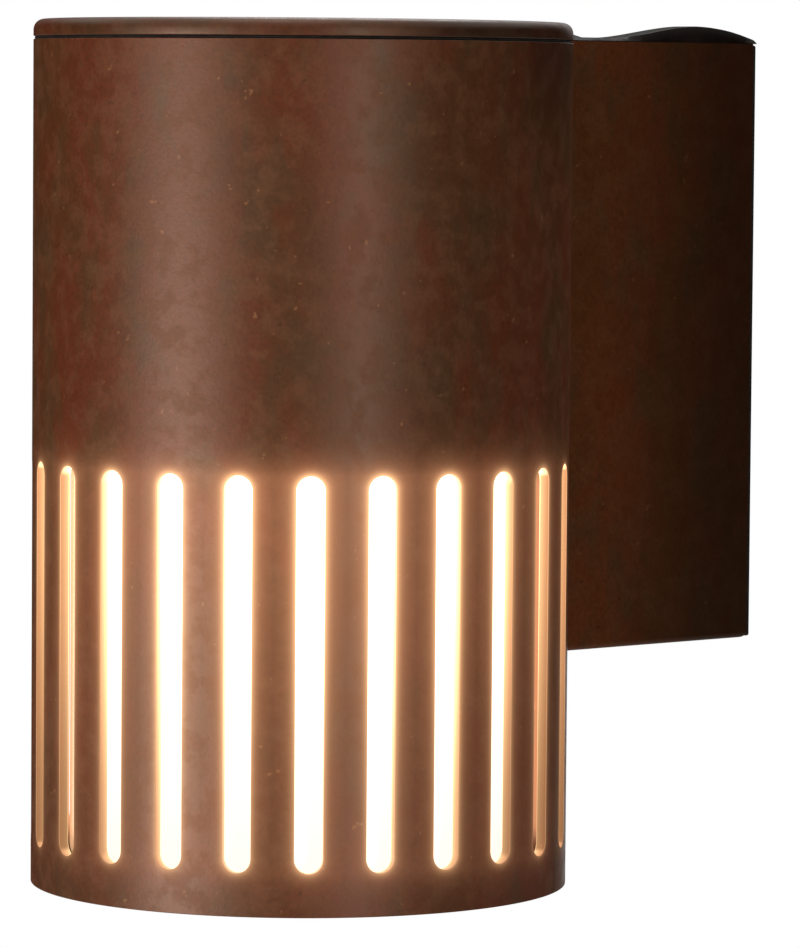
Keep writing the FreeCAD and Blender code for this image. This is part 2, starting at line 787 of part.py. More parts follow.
def make_grommets():
    hole = S["entry_hole_radius"] - S["fit_gap"]
    wide = S["entry_hole_radius"] + S["grommet_flange"]
    back = -(S["entry_boss_depth"] - S["wall_plate_thickness"])
    front = -S["entry_boss_depth"]
    turned_along_y("cable_grommet", S["entry_height"], [
        (S["cable_radius"], front - S["grommet_lip"]), (wide, front - S["grommet_lip"]), (wide, front),
        (hole, front), (hole, back), (wide, back), (wide, back + S["grommet_lip"]),
        (S["cable_radius"], back + S["grommet_lip"])])
    neck = S["wire_hole_radius"] - S["loose_gap"]
    flange = S["wire_hole_radius"] + S["wire_grommet_flange"]
    near = tube_y + leg(tube_bore, flange) - S["fit_gap"]
    far = tube_y + saddle_back + S["fit_gap"]
    turned_along_y("wire_grommet", wire_hole_z, [
        (S["nipple_bore"], near - S["wire_grommet_lip"]), (flange, near - S["wire_grommet_lip"]),
        (flange, near), (neck, near), (neck, far), (flange, far), (flange, far + S["wire_grommet_lip"]),
        (S["nipple_bore"], far + S["wire_grommet_lip"])])


def pole_places():
    return (S["block_centre_x"] - S["pole_half_spacing"], S["block_centre_x"] + S["pole_half_spacing"])


def clamp_places():
    for x in pole_places():
        for side in (-1, 1):
            yield x, S["block_centre_z"] + side * S["clamp_half_spacing"]


def make_terminal_block():
    body = new_body("terminal_block")
    half = S["block_width"] / 2
    low = S["block_centre_z"] - S["block_height"] / 2
    face = S["wall_plate_thickness"]
    front = new_sketch(body, "XZ_Plane", face)
    box_outline(front, S["block_centre_x"] - half, S["block_centre_x"] + half, low, low + S["block_height"])
    pad(body, front, S["block_depth"])
    bores = new_sketch(body, "XY_Plane", low)
    for x in pole_places():
        circle(bores, S["barrel_radius"] + S["loose_gap"], x, -S["pole_depth"])
    pocket(body, bores, S["block_height"], along_normal=True)
    wells = new_sketch(body, "XZ_Plane", face + S["block_depth"])
    for x, z in clamp_places():
        circle(wells, S["well_radius"], x, z)
    pocket(body, wells, face + S["block_depth"] - S["pole_depth"])
    seat = new_sketch(body, "XZ_Plane", face + S["block_depth"])
    circle(seat, S["block_screw_head"] + S["loose_gap"], S["block_centre_x"], S["block_centre_z"])
    pocket(body, seat, face + S["block_depth"] - S["block_screw_seat"])
    hole = new_sketch(body, "XZ_Plane", face + S["block_depth"])
    circle(hole, S["block_screw_radius"] + S["fit_gap"], S["block_centre_x"], S["block_centre_z"])
    pocket(body, hole, S["block_depth"])
    keep(body, "terminal_block")
    make_terminal_barrels()
    screws = []
    tip = S["pole_depth"] + S["barrel_bore"]
    for index, (x, z) in enumerate(clamp_places()):
        screws.append(screw(
            f"clamp_screw_{index}", S["clamp_head"], S["clamp_head_height"], S["clamp_radius"],
            S["clamp_length"], x, -(tip + S["clamp_length"]), z, HEAD_TO_FRONT))
    group("terminal_clamp_screws", screws)
    keep(screw("block_screw", S["block_screw_head"], S["block_screw_head_height"], S["block_screw_radius"],
               S["block_screw_seat"] - S["fit_gap"], S["block_centre_x"], -S["block_screw_seat"],
               S["block_centre_z"], HEAD_TO_FRONT), "terminal_block_screw")


def make_terminal_barrels():
    barrels = []
    low = S["block_centre_z"] - S["barrel_length"] / 2
    for index, x in enumerate(pole_places()):
        body = new_body(f"barrel_{index}", -S["pole_depth"], x)
        revolve(body, [(S["barrel_bore"], low), (S["barrel_radius"], low),
                       (S["barrel_radius"], low + S["barrel_length"]),
                       (S["barrel_bore"], low + S["barrel_length"])])
        taps = new_sketch(body, "XZ_Plane")
        for side in (-1, 1):
            tap_z = S["block_centre_z"] + side * S["clamp_half_spacing"]
            circle(taps, S["clamp_radius"] + S["fit_gap"], 0, tap_z)
        pocket(body, taps, S["barrel_radius"] + S["overrun"], along_normal=True)
        barrels.append(body)
    group("terminal_barrels", barrels)


def ring_tag(name, label, x, y, z, hole, lying):
    """A crimp tag: an eye under the screw and a tongue that the wire's end lies on."""
    body = new_body(name, y, x, z)
    role = "XY_Plane" if lying else "XZ_Plane"
    eye = new_sketch(body, role)
    circle(eye, S["tag_radius"])
    pad(body, eye, S["tag_thickness"])
    tongue = new_sketch(body, role)
    box_outline(tongue, -S["tag_width"] / 2, S["tag_width"] / 2, 0, S["tag_reach"])
    pad(body, tongue, S["tag_thickness"])
    bore = new_sketch(body, role)
    circle(bore, hole)
    pocket(body, bore, S["tag_thickness"], along_normal=True)
    return keep(body, label)


def make_earth():
    hole = S["screw_radius"] + S["fit_gap"]
    face = -S["wall_plate_thickness"]
    ring_tag("wall_tag", "wall_earth_tag", earth_x, face, S["earth_z"], hole, lying=False)
    keep(screw("earth_screw", S["screw_head"], S["screw_head_height"], S["screw_radius"],
               S["wall_plate_thickness"] + S["tag_thickness"] - S["fit_gap"], earth_x,
               face - S["tag_thickness"], S["earth_z"], HEAD_TO_FRONT), "wall_earth_screw")
    ring_tag("carrier_tag", "carrier_earth_tag", S["plate_earth_x"], tube_y + plate_earth_y, plate_top,
             hole, lying=True)
    keep(screw("carrier_earth_screw", S["screw_head"], S["screw_head_height"], S["screw_radius"],
               S["plate_thickness"] + S["tag_thickness"] + S["small_screw_head"], S["plate_earth_x"],
               tube_y + plate_earth_y, plate_top + S["tag_thickness"], UPRIGHT), "carrier_earth_screw")


def make_tube_screws():
    screws = []
    outer_face = tube_y + leg(tube_bore, S["upper_screw_x"] + S["screw_head"]) - S["fit_gap"]
    end = tube_y + saddle_radius + S["tube_boss_length"]
    for index, (x, z) in enumerate(tube_screw_places()):
        face = tube_y + tab_face if index == 2 else outer_face
        screws.append(screw(f"tube_screw_{index}", S["screw_head"], S["screw_head_height"], S["screw_radius"],
                            end - face, x, face, z, HEAD_TO_FRONT))
    group("tube_screws", screws)
    fixings = []
    for index, side in enumerate((-1, 1)):
        fixings.append(screw(
            f"fixing_screw_{index}", S["screw_radius"] + S["sunk_depth"], S["sunk_depth"],
            S["screw_radius"], S["fixing_length"], side * S["fixing_half_spacing"],
            -S["fixing_depth"], bracket_bottom + S["sunk_gap"], UPSIDE_DOWN, sunk=True))
    group("bracket_fixing_screws", fixings)


def make_lid_gasket():
    ring("lid_gasket", spigot_radius + S["fit_gap"], S["tube_radius"] - S["seam_inset"],
         tube_top, rim_bottom)


def make_carrier():
    body = new_body("carrier_plate", tube_y)
    disc = new_sketch(body, "XY_Plane", plate_bottom)
    circle(disc, tube_bore - S["plate_edge_gap"])
    circle(disc, plate_bore)
    pad(body, disc, S["plate_thickness"])
    tab = new_sketch(body, "XY_Plane", plate_bottom)
    box_outline(tab, -S["tab_width"] / 2, S["tab_width"] / 2, tab_face, tab_face + S["plate_thickness"])
    pad(body, tab, lower_screw_z + S["tab_over_screw"] - plate_bottom)
    tab_hole = new_sketch(body, "XZ_Plane")
    circle(tab_hole, S["screw_radius"] + S["loose_gap"], 0, lower_screw_z)
    pocket(body, tab_hole, S["tube_radius"])
    tie = new_sketch(body, "XY_Plane", plate_bottom)
    circle(tie, S["screw_radius"] + S["loose_gap"], 0, -tie_circle)
    cut = pocket(body, tie, S["plate_thickness"], along_normal=True)
    repeat_round(body, cut, S["tie_count"])
    notch = new_sketch(body, "XY_Plane", plate_bottom, S["clip_turn"])
    half = S["clip_width"] / 2 + S["notch_gap"]
    box_outline(notch, clip_leg - S["loose_gap"], tube_bore + S["overrun"], -half, half)
    cut = pocket(body, notch, S["plate_thickness"], along_normal=True)
    repeat_round(body, cut, S["clip_count"])
    rivet = new_sketch(body, "XY_Plane", plate_bottom, S["clip_turn"])
    circle(rivet, S["rivet_radius"] + S["fit_gap"], rivet_circle, 0)
    cut = pocket(body, rivet, S["plate_thickness"], along_normal=True)
    repeat_round(body, cut, S["clip_count"])
    holes = new_sketch(body, "XY_Plane", plate_bottom)
    circle(holes, S["screw_radius"] + S["fit_gap"], S["plate_earth_x"], plate_earth_y)
    for side in (-1, 1):
        circle(holes, S["small_screw_radius"] + S["loose_gap"], side * bridge_screw_x, 0)
    pocket(body, holes, S["plate_thickness"], along_normal=True)
    keep(body, "carrier_plate")


def make_clips():
    clips = []
    rivets = []
    leg_out = clip_leg + S["clip_thickness"]
    foot_top = plate_top + S["clip_thickness"]
    flange_top = plate_bottom - S["ring_gasket_thickness"] - S["run_gap"]
    tail = flange_top - S["cup_flange_thickness"] - S["clip_tail"]
    flare = S["clip_flare"]
    foot_in = leg_out - S["clip_foot"]
    for index in range(int(S["clip_count"].value)):
        body = new_body(f"clip_{index}", tube_y)
        profile = new_sketch(body, "XZ_Plane")
        outline(profile, [
            (foot_in, plate_top), (clip_leg, plate_top), (clip_leg, tail),
            (clip_leg + flare, tail - flare), (leg_out + flare, tail - flare),
            (leg_out, tail), (leg_out, foot_top), (foot_in, foot_top)])
        pad(body, profile, S["clip_width"], both_ways=True)
        hole = new_sketch(body, "XY_Plane", plate_top)
        circle(hole, S["rivet_radius"] + S["fit_gap"], rivet_circle, 0)
        pocket(body, hole, S["clip_thickness"], along_normal=True)
        turn = S["clip_turn"].value + full_turn * index / S["clip_count"].value
        body.Placement.Rotation = Rotation(Vector(0, 0, 1), turn)
        clips.append(body)
        rivets.append(make_rivet(index, foot_top))
    group("diffuser_clips", clips)
    group("clip_rivets", rivets)


def make_rivet(index, foot_top):
    x, y = place_round(rivet_circle, index, S["clip_count"], S["clip_turn"])
    body = new_body(f"rivet_{index}", y, x)
    low = plate_bottom - S["rivet_head_height"]
    high = foot_top + S["rivet_head_height"]
    revolve(body, [
        (0, low), (S["rivet_head"], low), (S["rivet_head"], plate_bottom), (S["rivet_radius"], plate_bottom),
        (S["rivet_radius"], foot_top), (S["rivet_head"], foot_top), (S["rivet_head"], high), (0, high)])
    return body


def make_tie_screws():
    ties = []
    length = lid_underside - S["boss_floor"] - S["fit_gap"] - plate_bottom
    for index in range(int(S["tie_count"].value)):
        x, y = place_round(tie_circle, index, S["tie_count"], -full_turn / 4)
        ties.append(screw(f"tie_{index}", S["screw_head"], S["screw_head_height"], S["screw_radius"],
                          length, x, y, plate_bottom, UPSIDE_DOWN))
    group("lid_tie_screws", ties)


def make_bridge():
    body = new_body("lampholder_bridge", tube_y)
    profile = new_sketch(body, "XZ_Plane")
    inn = S["holder_radius"] + bridge_room * S["bridge_leg_share"]
    out = inn + S["bridge_thickness"]
    foot_x = S["holder_radius"] + bridge_room * S["bridge_foot_share"]
    foot_top = plate_top + S["bridge_thickness"]
    outline(profile, [
        (-foot_x, plate_top), (-inn, plate_top), (-inn, holder_top), (inn, holder_top), (inn, plate_top),
        (foot_x, plate_top), (foot_x, foot_top), (out, foot_top), (out, bridge_top), (-out, bridge_top),
        (-out, foot_top), (-foot_x, foot_top)])
    pad(body, profile, S["bridge_width"], both_ways=True)
    holes = new_sketch(body, "XY_Plane", plate_top)
    for side in (-1, 1):
        circle(holes, S["small_screw_radius"] + S["loose_gap"], side * bridge_screw_x, 0)
    pocket(body, holes, S["bridge_thickness"], along_normal=True)
    bore = new_sketch(body, "XY_Plane", bridge_top)
    circle(bore, S["nipple_radius"] + S["fit_gap"])
    pocket(body, bore, S["bridge_thickness"])
    keep(body, "lampholder_bridge")
    screws = []
    nuts = []
    for index, side in enumerate((-1, 1)):
        x = side * bridge_screw_x
        screws.append(screw(f"bridge_screw_{index}", S["small_screw_head"], S["small_screw_head_height"],
                            S["small_screw_radius"], S["small_screw_length"], x, tube_y, foot_top, UPRIGHT))
        nuts.append(hex_nut(
            f"bridge_nut_{index}", x, tube_y, plate_bottom - S["small_nut_height"],
            S["small_nut_flats"], S["small_nut_height"], S["small_screw_radius"] + S["fit_gap"]))
    group("bridge_screws", screws)
    group("bridge_nuts", nuts)
    keep(hex_nut("nipple_nut", 0, tube_y, bridge_top, S["nipple_nut_flats"],
                 S["nipple_nut_height"], S["nipple_radius"] + S["fit_gap"]), "nipple_nut")


def hex_nut(name, x, y, z, flats, height, bore):
    body = new_body(name, y, x, z)
    sketch = new_sketch(body, "XY_Plane")
    half = flats / 2
    corner = flats / root(as_size(3))
    outline(sketch, [(corner, 0), (corner / 2, half), (-corner / 2, half), (-corner, 0),
                     (-corner / 2, -half), (corner / 2, -half)])
    circle(sketch, bore)
    pad(body, sketch, height)
    return body


def make_lampholder():
    skirt = new_body("lampholder_skirt", tube_y)
    revolve(skirt, [(S["skirt_bore"], holder_mouth), (S["holder_radius"], holder_mouth),
                    (S["holder_radius"], holder_seam), (S["skirt_bore"], holder_seam)])
    round_edges(skirt, S["shell_wall"], lambda edge: at_height(edge, holder_mouth))
    keep(skirt, "lampholder_skirt")
    cap = new_body("lampholder_cap", tube_y)
    shoulder = holder_seam + S["holder_cap_straight"]
    outer = S["holder_radius"]
    wall = S["holder_wall"]
    dome = S["holder_dome"]
    bore = S["nipple_radius"] + S["fit_gap"]
    revolve(cap, [
        (outer - wall, holder_seam), (outer, holder_seam), (outer, shoulder, dome),
        (S["holder_neck"], holder_top), (bore, holder_top), (bore, holder_top - wall),
        (S["holder_neck"] - wall / 2, holder_top - wall, -dome), (outer - wall, shoulder)])
    keep(cap, "lampholder_cap")
    core = new_body("lampholder_core", tube_y)
    revolve(core, [(0, core_bottom), (S["core_bore"], core_bottom), (S["core_bore"], holder_seam),
                   (S["core_radius"], holder_seam), (S["core_radius"], core_top), (0, core_top)])
    keep(core, "lampholder_core")
    shell = new_body("lampholder_shell", tube_y)
    low = holder_mouth + S["shell_inset"]
    out = S["shell_bore"] + S["shell_wall"]
    revolve(shell, [(S["shell_bore"], low), (out, low), (out, low + S["shell_length"]),
                    (S["shell_bore"], low + S["shell_length"])])
    keep(shell, "lampholder_shell")
    leaf = new_body("centre_contact", tube_y)
    strip = new_sketch(leaf, "XZ_Plane")
    thick = S["leaf_thickness"]
    inner = S["leaf_half_length"] / 2
    outline(strip, [
        (-S["leaf_half_length"], core_bottom - thick), (-inner, core_bottom - thick), (0, leaf_bottom),
        (inner, leaf_bottom), (inner, leaf_bottom + thick), (0, leaf_bottom + thick),
        (-inner, core_bottom), (-S["leaf_half_length"], core_bottom)])
    pad(leaf, strip, S["leaf_width"], both_ways=True)
    keep(leaf, "centre_contact")
    posts = []
    for index, side in enumerate((-1, 1)):
        post = new_body(f"post_{index}", tube_y, side * S["post_circle"])
        revolve(post, [(0, core_top), (S["post_radius"], core_top),
                       (S["post_radius"], core_top + S["post_height"]), (0, core_top + S["post_height"])])
        posts.append(post)
    group("lampholder_terminals", posts)
    ring("threaded_nipple", S["nipple_bore"], S["nipple_radius"],
         holder_top - S["nipple_engage"], nipple_top)


def make_diffuser():
    body = new_body("diffuser_cup", tube_y)
    top = plate_bottom - S["ring_gasket_thickness"] - S["run_gap"]
    flange_low = top - S["cup_flange_thickness"]
    flange = cup_radius + S["cup_flange"]
    bottom = tube_bottom + S["cup_lift"]
    floor = bottom + S["cup_floor"]
    # the corner arcs are quarter circles, so their bow is the radius less half the chord
    outer_round = S["cup_round"]
    inner_round = S["cup_round"] / 2
    bow_share = as_size(1) - root(as_size(2)) / 2
    revolve(body, [
        (0, floor), (0, bottom), (cup_radius - outer_round, bottom, bow_share * outer_round),
        (cup_radius, bottom + outer_round), (cup_radius, flange_low), (flange, flange_low),
        (flange, top), (cup_bore, top), (cup_bore, floor + inner_round, -bow_share * inner_round),
        (cup_bore - inner_round, floor)])
    keep(body, "diffuser_cup")
    gasket_in = cup_bore - S["loose_gap"]
    ring("diffuser_gasket", gasket_in, gasket_in + S["ring_gasket_width"],
         plate_bottom - S["ring_gasket_thickness"], plate_bottom)


def make_bulb():
    contact_low = bulb_top - S["bulb_contact_height"]
    contact = new_body("bulb_contact", tube_y)
    dome = S["bulb_contact_height"] / 3
    revolve(contact, [(0, contact_low), (S["bulb_contact_radius"], contact_low),
                      (S["bulb_contact_radius"], bulb_top - dome), (S["bulb_contact_radius"] / 2, bulb_top),
                      (0, bulb_top)])
    keep(contact, "bulb_contact")
    shell_top = contact_low - S["bulb_insulator_height"]
    insulator = new_body("bulb_insulator", tube_y)
    revolve(insulator, [(0, shell_top), (S["bulb_insulator_radius"], shell_top),
                        (S["bulb_contact_radius"], contact_low), (0, contact_low)])
    keep(insulator, "bulb_insulator")
    shell_low = shell_top - S["bulb_shell_length"]
    make_bulb_shell(shell_top, shell_low)
    housing_low = shell_low - S["bulb_housing_length"]
    globe_centre = bulb_top - S["bulb_length"] + S["bulb_radius"]
    rim = leg(S["bulb_radius"], housing_low - globe_centre)
    wall = S["bulb_housing_wall"]
    housing = new_body("bulb_housing", tube_y)
    collar_low = shell_low - S["bulb_collar_length"]
    bow = S["bulb_housing_bow"]
    revolve(housing, [
        (S["bulb_collar_radius"] - wall, shell_low), (S["bulb_collar_radius"] - wall, collar_low, bow),
        (rim - wall, housing_low), (rim, housing_low, -bow), (S["bulb_collar_radius"], collar_low),
        (S["bulb_collar_radius"], shell_low)])
    keep(housing, "bulb_housing")
    globe = new_body("bulb_globe", tube_y)
    tip = bulb_top - S["bulb_length"]
    skin = S["globe_wall"]
    inner_rim = leg(S["bulb_radius"] - skin, housing_low - globe_centre)
    # each arc stands out from its chord by the radius less the chord's distance from the centre
    outer_bow = S["bulb_radius"] - leg(S["bulb_radius"], half_chord_of(rim, housing_low - tip))
    inner_bow = (S["bulb_radius"] - skin
                 - leg(S["bulb_radius"] - skin, half_chord_of(inner_rim, housing_low - tip - skin)))
    revolve(globe, [
        (0, tip + skin), (0, tip, outer_bow), (rim, housing_low), (inner_rim, housing_low, -inner_bow)])
    keep(globe, "bulb_globe")
    make_led_board(housing_low, rim - wall)


def half_chord_of(across, up):
    return root(across * across + up * up) / 2


def make_bulb_shell(top, low):
    """The thin screw shell, with one groove for each turn of its thread."""
    shell = new_body("bulb_screw_shell", tube_y)
    radius = S["bulb_shell_radius"]
    wall = S["bulb_shell_wall"]
    shoulder = radius - S["bulb_insulator_radius"]
    revolve(shell, [
        (radius - wall, low), (radius, low), (radius, top - shoulder / 2), (S["bulb_insulator_radius"], top),
        (S["bulb_insulator_radius"] - wall, top), (S["bulb_insulator_radius"] - wall, top - wall),
        (radius - wall, top - wall - shoulder / 2)])
    groove_sketch = new_sketch(shell, "XZ_Plane")
    circle(groove_sketch, S["thread_groove"], radius + S["thread_groove"] - S["thread_depth"],
           low + S["thread_start"])
    groove = shell.newObject("PartDesign::Groove", "thread_groove")
    groove.Profile = groove_sketch
    groove.ReferenceAxis = (groove_sketch, ["V_Axis"])
    groove.Angle = full_turn
    doc.recompute()
    pattern = shell.newObject("PartDesign::LinearPattern", "thread")
    pattern.Originals = [groove]
    pattern.Direction = (plane_of(shell, "Z_Axis"), [""])
    bind(pattern, "Length", S["thread_pitch"] * (S["thread_turns"] - 1))
    bind(pattern, "Occurrences", S["thread_turns"])
    shell.Tip = pattern
    doc.recompute()
    keep(shell, "bulb_screw_shell")


def make_led_board(low, bore):
    radius = bore - S["led_board_gap"]
    board = new_body("led_board", tube_y)
    revolve(board, [(0, low), (radius, low), (radius, low + S["led_board_thickness"]),
                    (0, low + S["led_board_thickness"])])
    keep(board, "led_board")
    chips = new_body("led_chips", tube_y)
    chip = new_sketch(chips, "XY_Plane", low)
    half = S["led_size"] / 2
    box_outline(chip, S["led_circle"] - half, S["led_circle"] + half, -half, half)
    repeat_round(chips, pad(chips, chip, S["led_height"], backwards=True), S["led_count"], as_size(360))
    keep(chips, "led_chips")


def smooth_path(points):
    """Straight runs joined by arcs that touch both runs, each as large as its runs allow."""
    edges = []
    last = points[0]
    for before, corner, after in zip(points, points[1:], points[2:]):
        way_in = (corner - before)
        way_out = (after - corner)
        shorter = min(way_in.Length, way_out.Length)
        turn = way_in.getAngle(way_out)
        radius = wire_run_share * shorter / math.tan(turn / 2)
        cut = wire_run_share * shorter
        start = corner - way_in.normalize() * cut
        end = corner + way_out.normalize() * cut
        inward = (way_out - way_in).normalize()
        middle = corner + inward * (radius / math.cos(turn / 2) - radius)
        edges.append(Part.LineSegment(last, start).toShape())
        edges.append(Part.Arc(start, middle, end).toShape())
        print(f"  bend radius {radius:.1f}")
        last = end
    edges.append(Part.LineSegment(last, points[-1]).toShape())
    return Part.Wire(edges)


def wire(label, points):
    """An insulated conductor along its route."""
    print(label)
    points = [Vector(*(as_size(number).value for number in point)) for point in points]
    path = smooth_path(points)
    radius = S["wire_radius"].value
    section = Part.Wire(Part.makeCircle(radius, points[0], points[1] - points[0]))
    solid = path.makePipeShell([section], True, False)
    wanted = math.pi * radius * radius * path.Length
    if abs(solid.Volume - wanted) > wanted / 100:
        raise RuntimeError(f"{label}: the tube's volume is off")
    feature = doc.addObject("Part::Feature", label)
    feature.Shape = solid
    return keep(feature, label)


def make_wires():
    """Two conductors run from the block over the lampholder and down its nipple, and the third
    from the wall plate's earth screw to the carrier plate's."""
    start_z = S["block_centre_z"] + S["barrel_length"] / 2 + S["loose_gap"]
    across_z = wire_hole_z + S["wire_spread"] / 2
    rise_y = tube_y + tube_bore - S["wire_wall_gap"]
    over_z = nipple_top + (lid_underside - nipple_top) * S["wire_arch_share"]
    post_face = S["post_circle"] - S["post_radius"] - S["wire_radius"]
    first_x, second_x = pole_places()
    for label, pole_x, side in (("wire_live", first_x, -1), ("wire_neutral", second_x, 1)):
        x = side * S["wire_spread"]
        wire(label, [
            (pole_x, -S["pole_depth"], start_z),
            (pole_x, -S["pole_depth"], start_z + S["wire_rise"]),
            (x, -S["wire_slack_depth"], across_z),
            (x, rise_y, across_z),
            (x, tube_y + S["wire_arch_reach"], over_z),
            (x, tube_y, over_z),
            (x, tube_y, holder_top - S["nipple_engage"]),
            (side * post_face, tube_y, core_top + S["post_height"] / 2)])
    tag_face = -S["wall_plate_thickness"] - S["tag_thickness"] - S["wire_radius"] - S["fit_gap"]
    eye_z = S["earth_z"] + S["tag_radius"] + S["wire_radius"]
    across_z = wire_hole_z - S["earth_wire_drop"]
    end_y = tube_y + plate_earth_y + S["earth_wire_end"]
    middle_y = tube_y + plate_earth_y + S["tag_reach"]
    wire("wire_earth", [
        (earth_x, tag_face, eye_z),
        (earth_x, tag_face, S["earth_z"] + S["earth_wire_rise"]),
        (earth_x / 2, -S["pole_depth"] * 2, across_z - S["earth_wire_dip"]),
        (0, -S["pole_depth"] * 4, across_z),
        (0, rise_y - S["wire_radius"] * 2, across_z),
        (S["plate_earth_x"], middle_y, plate_top + S["earth_wire_lift"]),
        (S["plate_earth_x"], end_y, plate_top + S["tag_thickness"] + S["wire_radius"])])


def finish():
    doc.recompute()
    for thing in doc.Objects:
        if "Invalid" in thing.State or "Error" in thing.State:
            raise RuntimeError(f"{thing.Label}: {thing.State}")
    for node in nodes:
        if node.Shape.isNull() or not node.Shape.isValid() or not node.Shape.Solids:
            raise RuntimeError(f"{node.Label}: no sound solid")
    for node in nodes:
        node.Shape.exportStep(f"parts/{node.Label}.step")
        print(f"{node.Label}: {len(node.Shape.Solids)} solids, {node.Shape.Volume:.1f} mm3")


make_tube()
make_lid()
make_lid_gasket()
make_housing()
make_cap()
make_wall_gasket()
make_wall_plate()
make_grommets()
make_terminal_block()
make_earth()
make_tube_screws()
make_carrier()
make_clips()
make_tie_screws()
make_bridge()
make_lampholder()
make_diffuser()
make_bulb()
make_wires()
finish()
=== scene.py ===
import math

import bmesh
import bpy
from mathutils import Matrix, Vector


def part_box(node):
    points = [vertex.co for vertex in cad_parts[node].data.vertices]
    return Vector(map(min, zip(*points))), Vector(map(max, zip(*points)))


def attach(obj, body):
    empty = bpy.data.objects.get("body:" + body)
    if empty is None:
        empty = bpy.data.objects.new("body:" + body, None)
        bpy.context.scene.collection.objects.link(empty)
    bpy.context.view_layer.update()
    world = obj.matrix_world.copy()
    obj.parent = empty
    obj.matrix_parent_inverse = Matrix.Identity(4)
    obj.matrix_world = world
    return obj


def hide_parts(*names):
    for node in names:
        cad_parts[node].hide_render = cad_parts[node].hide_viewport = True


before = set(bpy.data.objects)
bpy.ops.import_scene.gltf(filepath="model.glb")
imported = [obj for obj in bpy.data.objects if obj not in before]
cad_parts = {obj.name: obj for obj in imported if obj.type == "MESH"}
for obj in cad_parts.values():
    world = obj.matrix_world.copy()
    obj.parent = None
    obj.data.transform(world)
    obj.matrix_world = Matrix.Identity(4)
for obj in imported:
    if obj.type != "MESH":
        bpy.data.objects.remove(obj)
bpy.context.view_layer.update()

mm = 0.001
weld = 0.002 * mm    # points of one piece nearer than this are one point
flatWithin = math.radians(0.8)    # faces that differ by less than this make one flat face
fixture, diffuserBody, bulbBody = "fixture", "diffuser", "bulb"
print("frame loaded")

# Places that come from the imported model, all in metres.
tubeLow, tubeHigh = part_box("slotted_tube")
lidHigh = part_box("top_lid")[1]
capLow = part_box("bracket_top_cap")[0]
cupLow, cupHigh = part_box("diffuser_cup")
globeLow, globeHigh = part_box("bulb_globe")
shellLow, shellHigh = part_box("bulb_screw_shell")
bodyLow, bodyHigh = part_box("bulb_housing")
axisY = (bodyLow.y + bodyHigh.y) / 2    # the tube stands upright on this axis, at x = 0


# Colour and node helpers

def linear(hexText):
    channels = [int(hexText[i:i + 2], 16) / 255 for i in (1, 3, 5)]
    return [c / 12.92 if c <= 0.04045 else ((c + 0.055) / 1.055) ** 2.4 for c in channels] + [1]


def addNode(tree, kind, values=None, links=None, **settings):
    node = tree.nodes.new(kind)
    for name, value in settings.items():
        setattr(node, name, value)
    for socket, value in (values or {}).items():
        node.inputs[socket].default_value = value
    for socket, source in (links or {}).items():
        tree.links.new(source, node.inputs[socket])
    return node


def newMaterial(name, hexColour, **sockets):
    material = bpy.data.materials.new(name)
    material.use_nodes = True
    material.diffuse_color = linear(hexColour)
    shader = material.node_tree.nodes["Principled BSDF"]
    shader.inputs["Base Color"].default_value = linear(hexColour)
    for socket, value in sockets.items():
        shader.inputs[socket.replace("_", " ")].default_value = value
    return material, material.node_tree, shader


def objectPoint(tree, scale=(1, 1, 1), place=(0, 0, 0)):
    coordinates = addNode(tree, "ShaderNodeTexCoord")
    return addNode(tree, "ShaderNodeMapping", {"Scale": scale, "Location": place},
                   {"Vector": coordinates.outputs["Object"]}).outputs[0]


def noise(tree, point, sizeMm, detail=3, roughness=0.5, distortion=0.0):
    return addNode(tree, "ShaderNodeTexNoise",
                   {"Scale": 1 / (sizeMm * mm), "Detail": detail, "Roughness": roughness,
                    "Distortion": distortion}, {"Vector": point}).outputs[0]


def remap(tree, value, low, high, toLow=0.0, toHigh=1.0, smooth=True):
    return addNode(tree, "ShaderNodeMapRange",
                   {"From Min": low, "From Max": high, "To Min": toLow, "To Max": toHigh},
                   {"Value": value},
                   interpolation_type="SMOOTHSTEP" if smooth else "LINEAR").outputs[0]


def mixColour(tree, share, first, second, blend="MIX"):
    values, links = {}, {}
    for socket, thing in ((0, share), (6, first), (7, second)):
        if isinstance(thing, bpy.types.NodeSocket):
            links[socket] = thing
        else:
            values[socket] = linear(thing) if isinstance(thing, str) else thing
    return addNode(tree, "ShaderNodeMix", values, links, data_type="RGBA",
                   blend_type=blend).outputs[2]


def maths(tree, operation, first, second=None, third=None):
    values, links = {}, {}
    for socket, thing in enumerate((first, second, third)):
        if isinstance(thing, bpy.types.NodeSocket):
            links[socket] = thing
        elif thing is not None:
            values[socket] = thing
    return addNode(tree, "ShaderNodeMath", values, links, operation=operation).outputs[0]


def addBump(tree, shader, height, strength, depthMm):
    bump = addNode(tree, "ShaderNodeBump", {"Strength": strength, "Distance": depthMm * mm},
                   {"Height": height})
    tree.links.new(bump.outputs[0], shader.inputs["Normal"])


# Rust-effect powder coat: baked on steel, a satin skin with soft blotches of red, brown and olive,
# a fine orange-peel surface, and small light and dark specks. Its gloss is low and warm. An edge
# says at which values of the noise a tone begins and is full.

rustCoat = {
    "blotchMm": 26, "blotchEdge": (0.40, 0.62), "patchMm": 10, "patchEdge": (0.46, 0.66),
    "patchShare": 0.7, "cloudMm": 4.5, "cloudEdge": (0.40, 0.66), "cloudShare": 0.35,
    "grainMm": 0.9, "grainEdge": (0.35, 0.7), "grainShare": 0.3, "speckMm": 2.6,
    "paleEdge": (0.69, 0.76), "paleShare": 0.55, "darkEdge": (0.24, 0.31), "darkShare": 0.5,
    "peelMm": 0.7, "peelDepthMm": 0.06, "peelStrength": 0.3, "streakStretch": 0.45,
    "cloudRelief": 0.5, "roughness": 0.43, "roughSpread": (0.94, 1.12), "glossTint": "#ffe4d2",
}


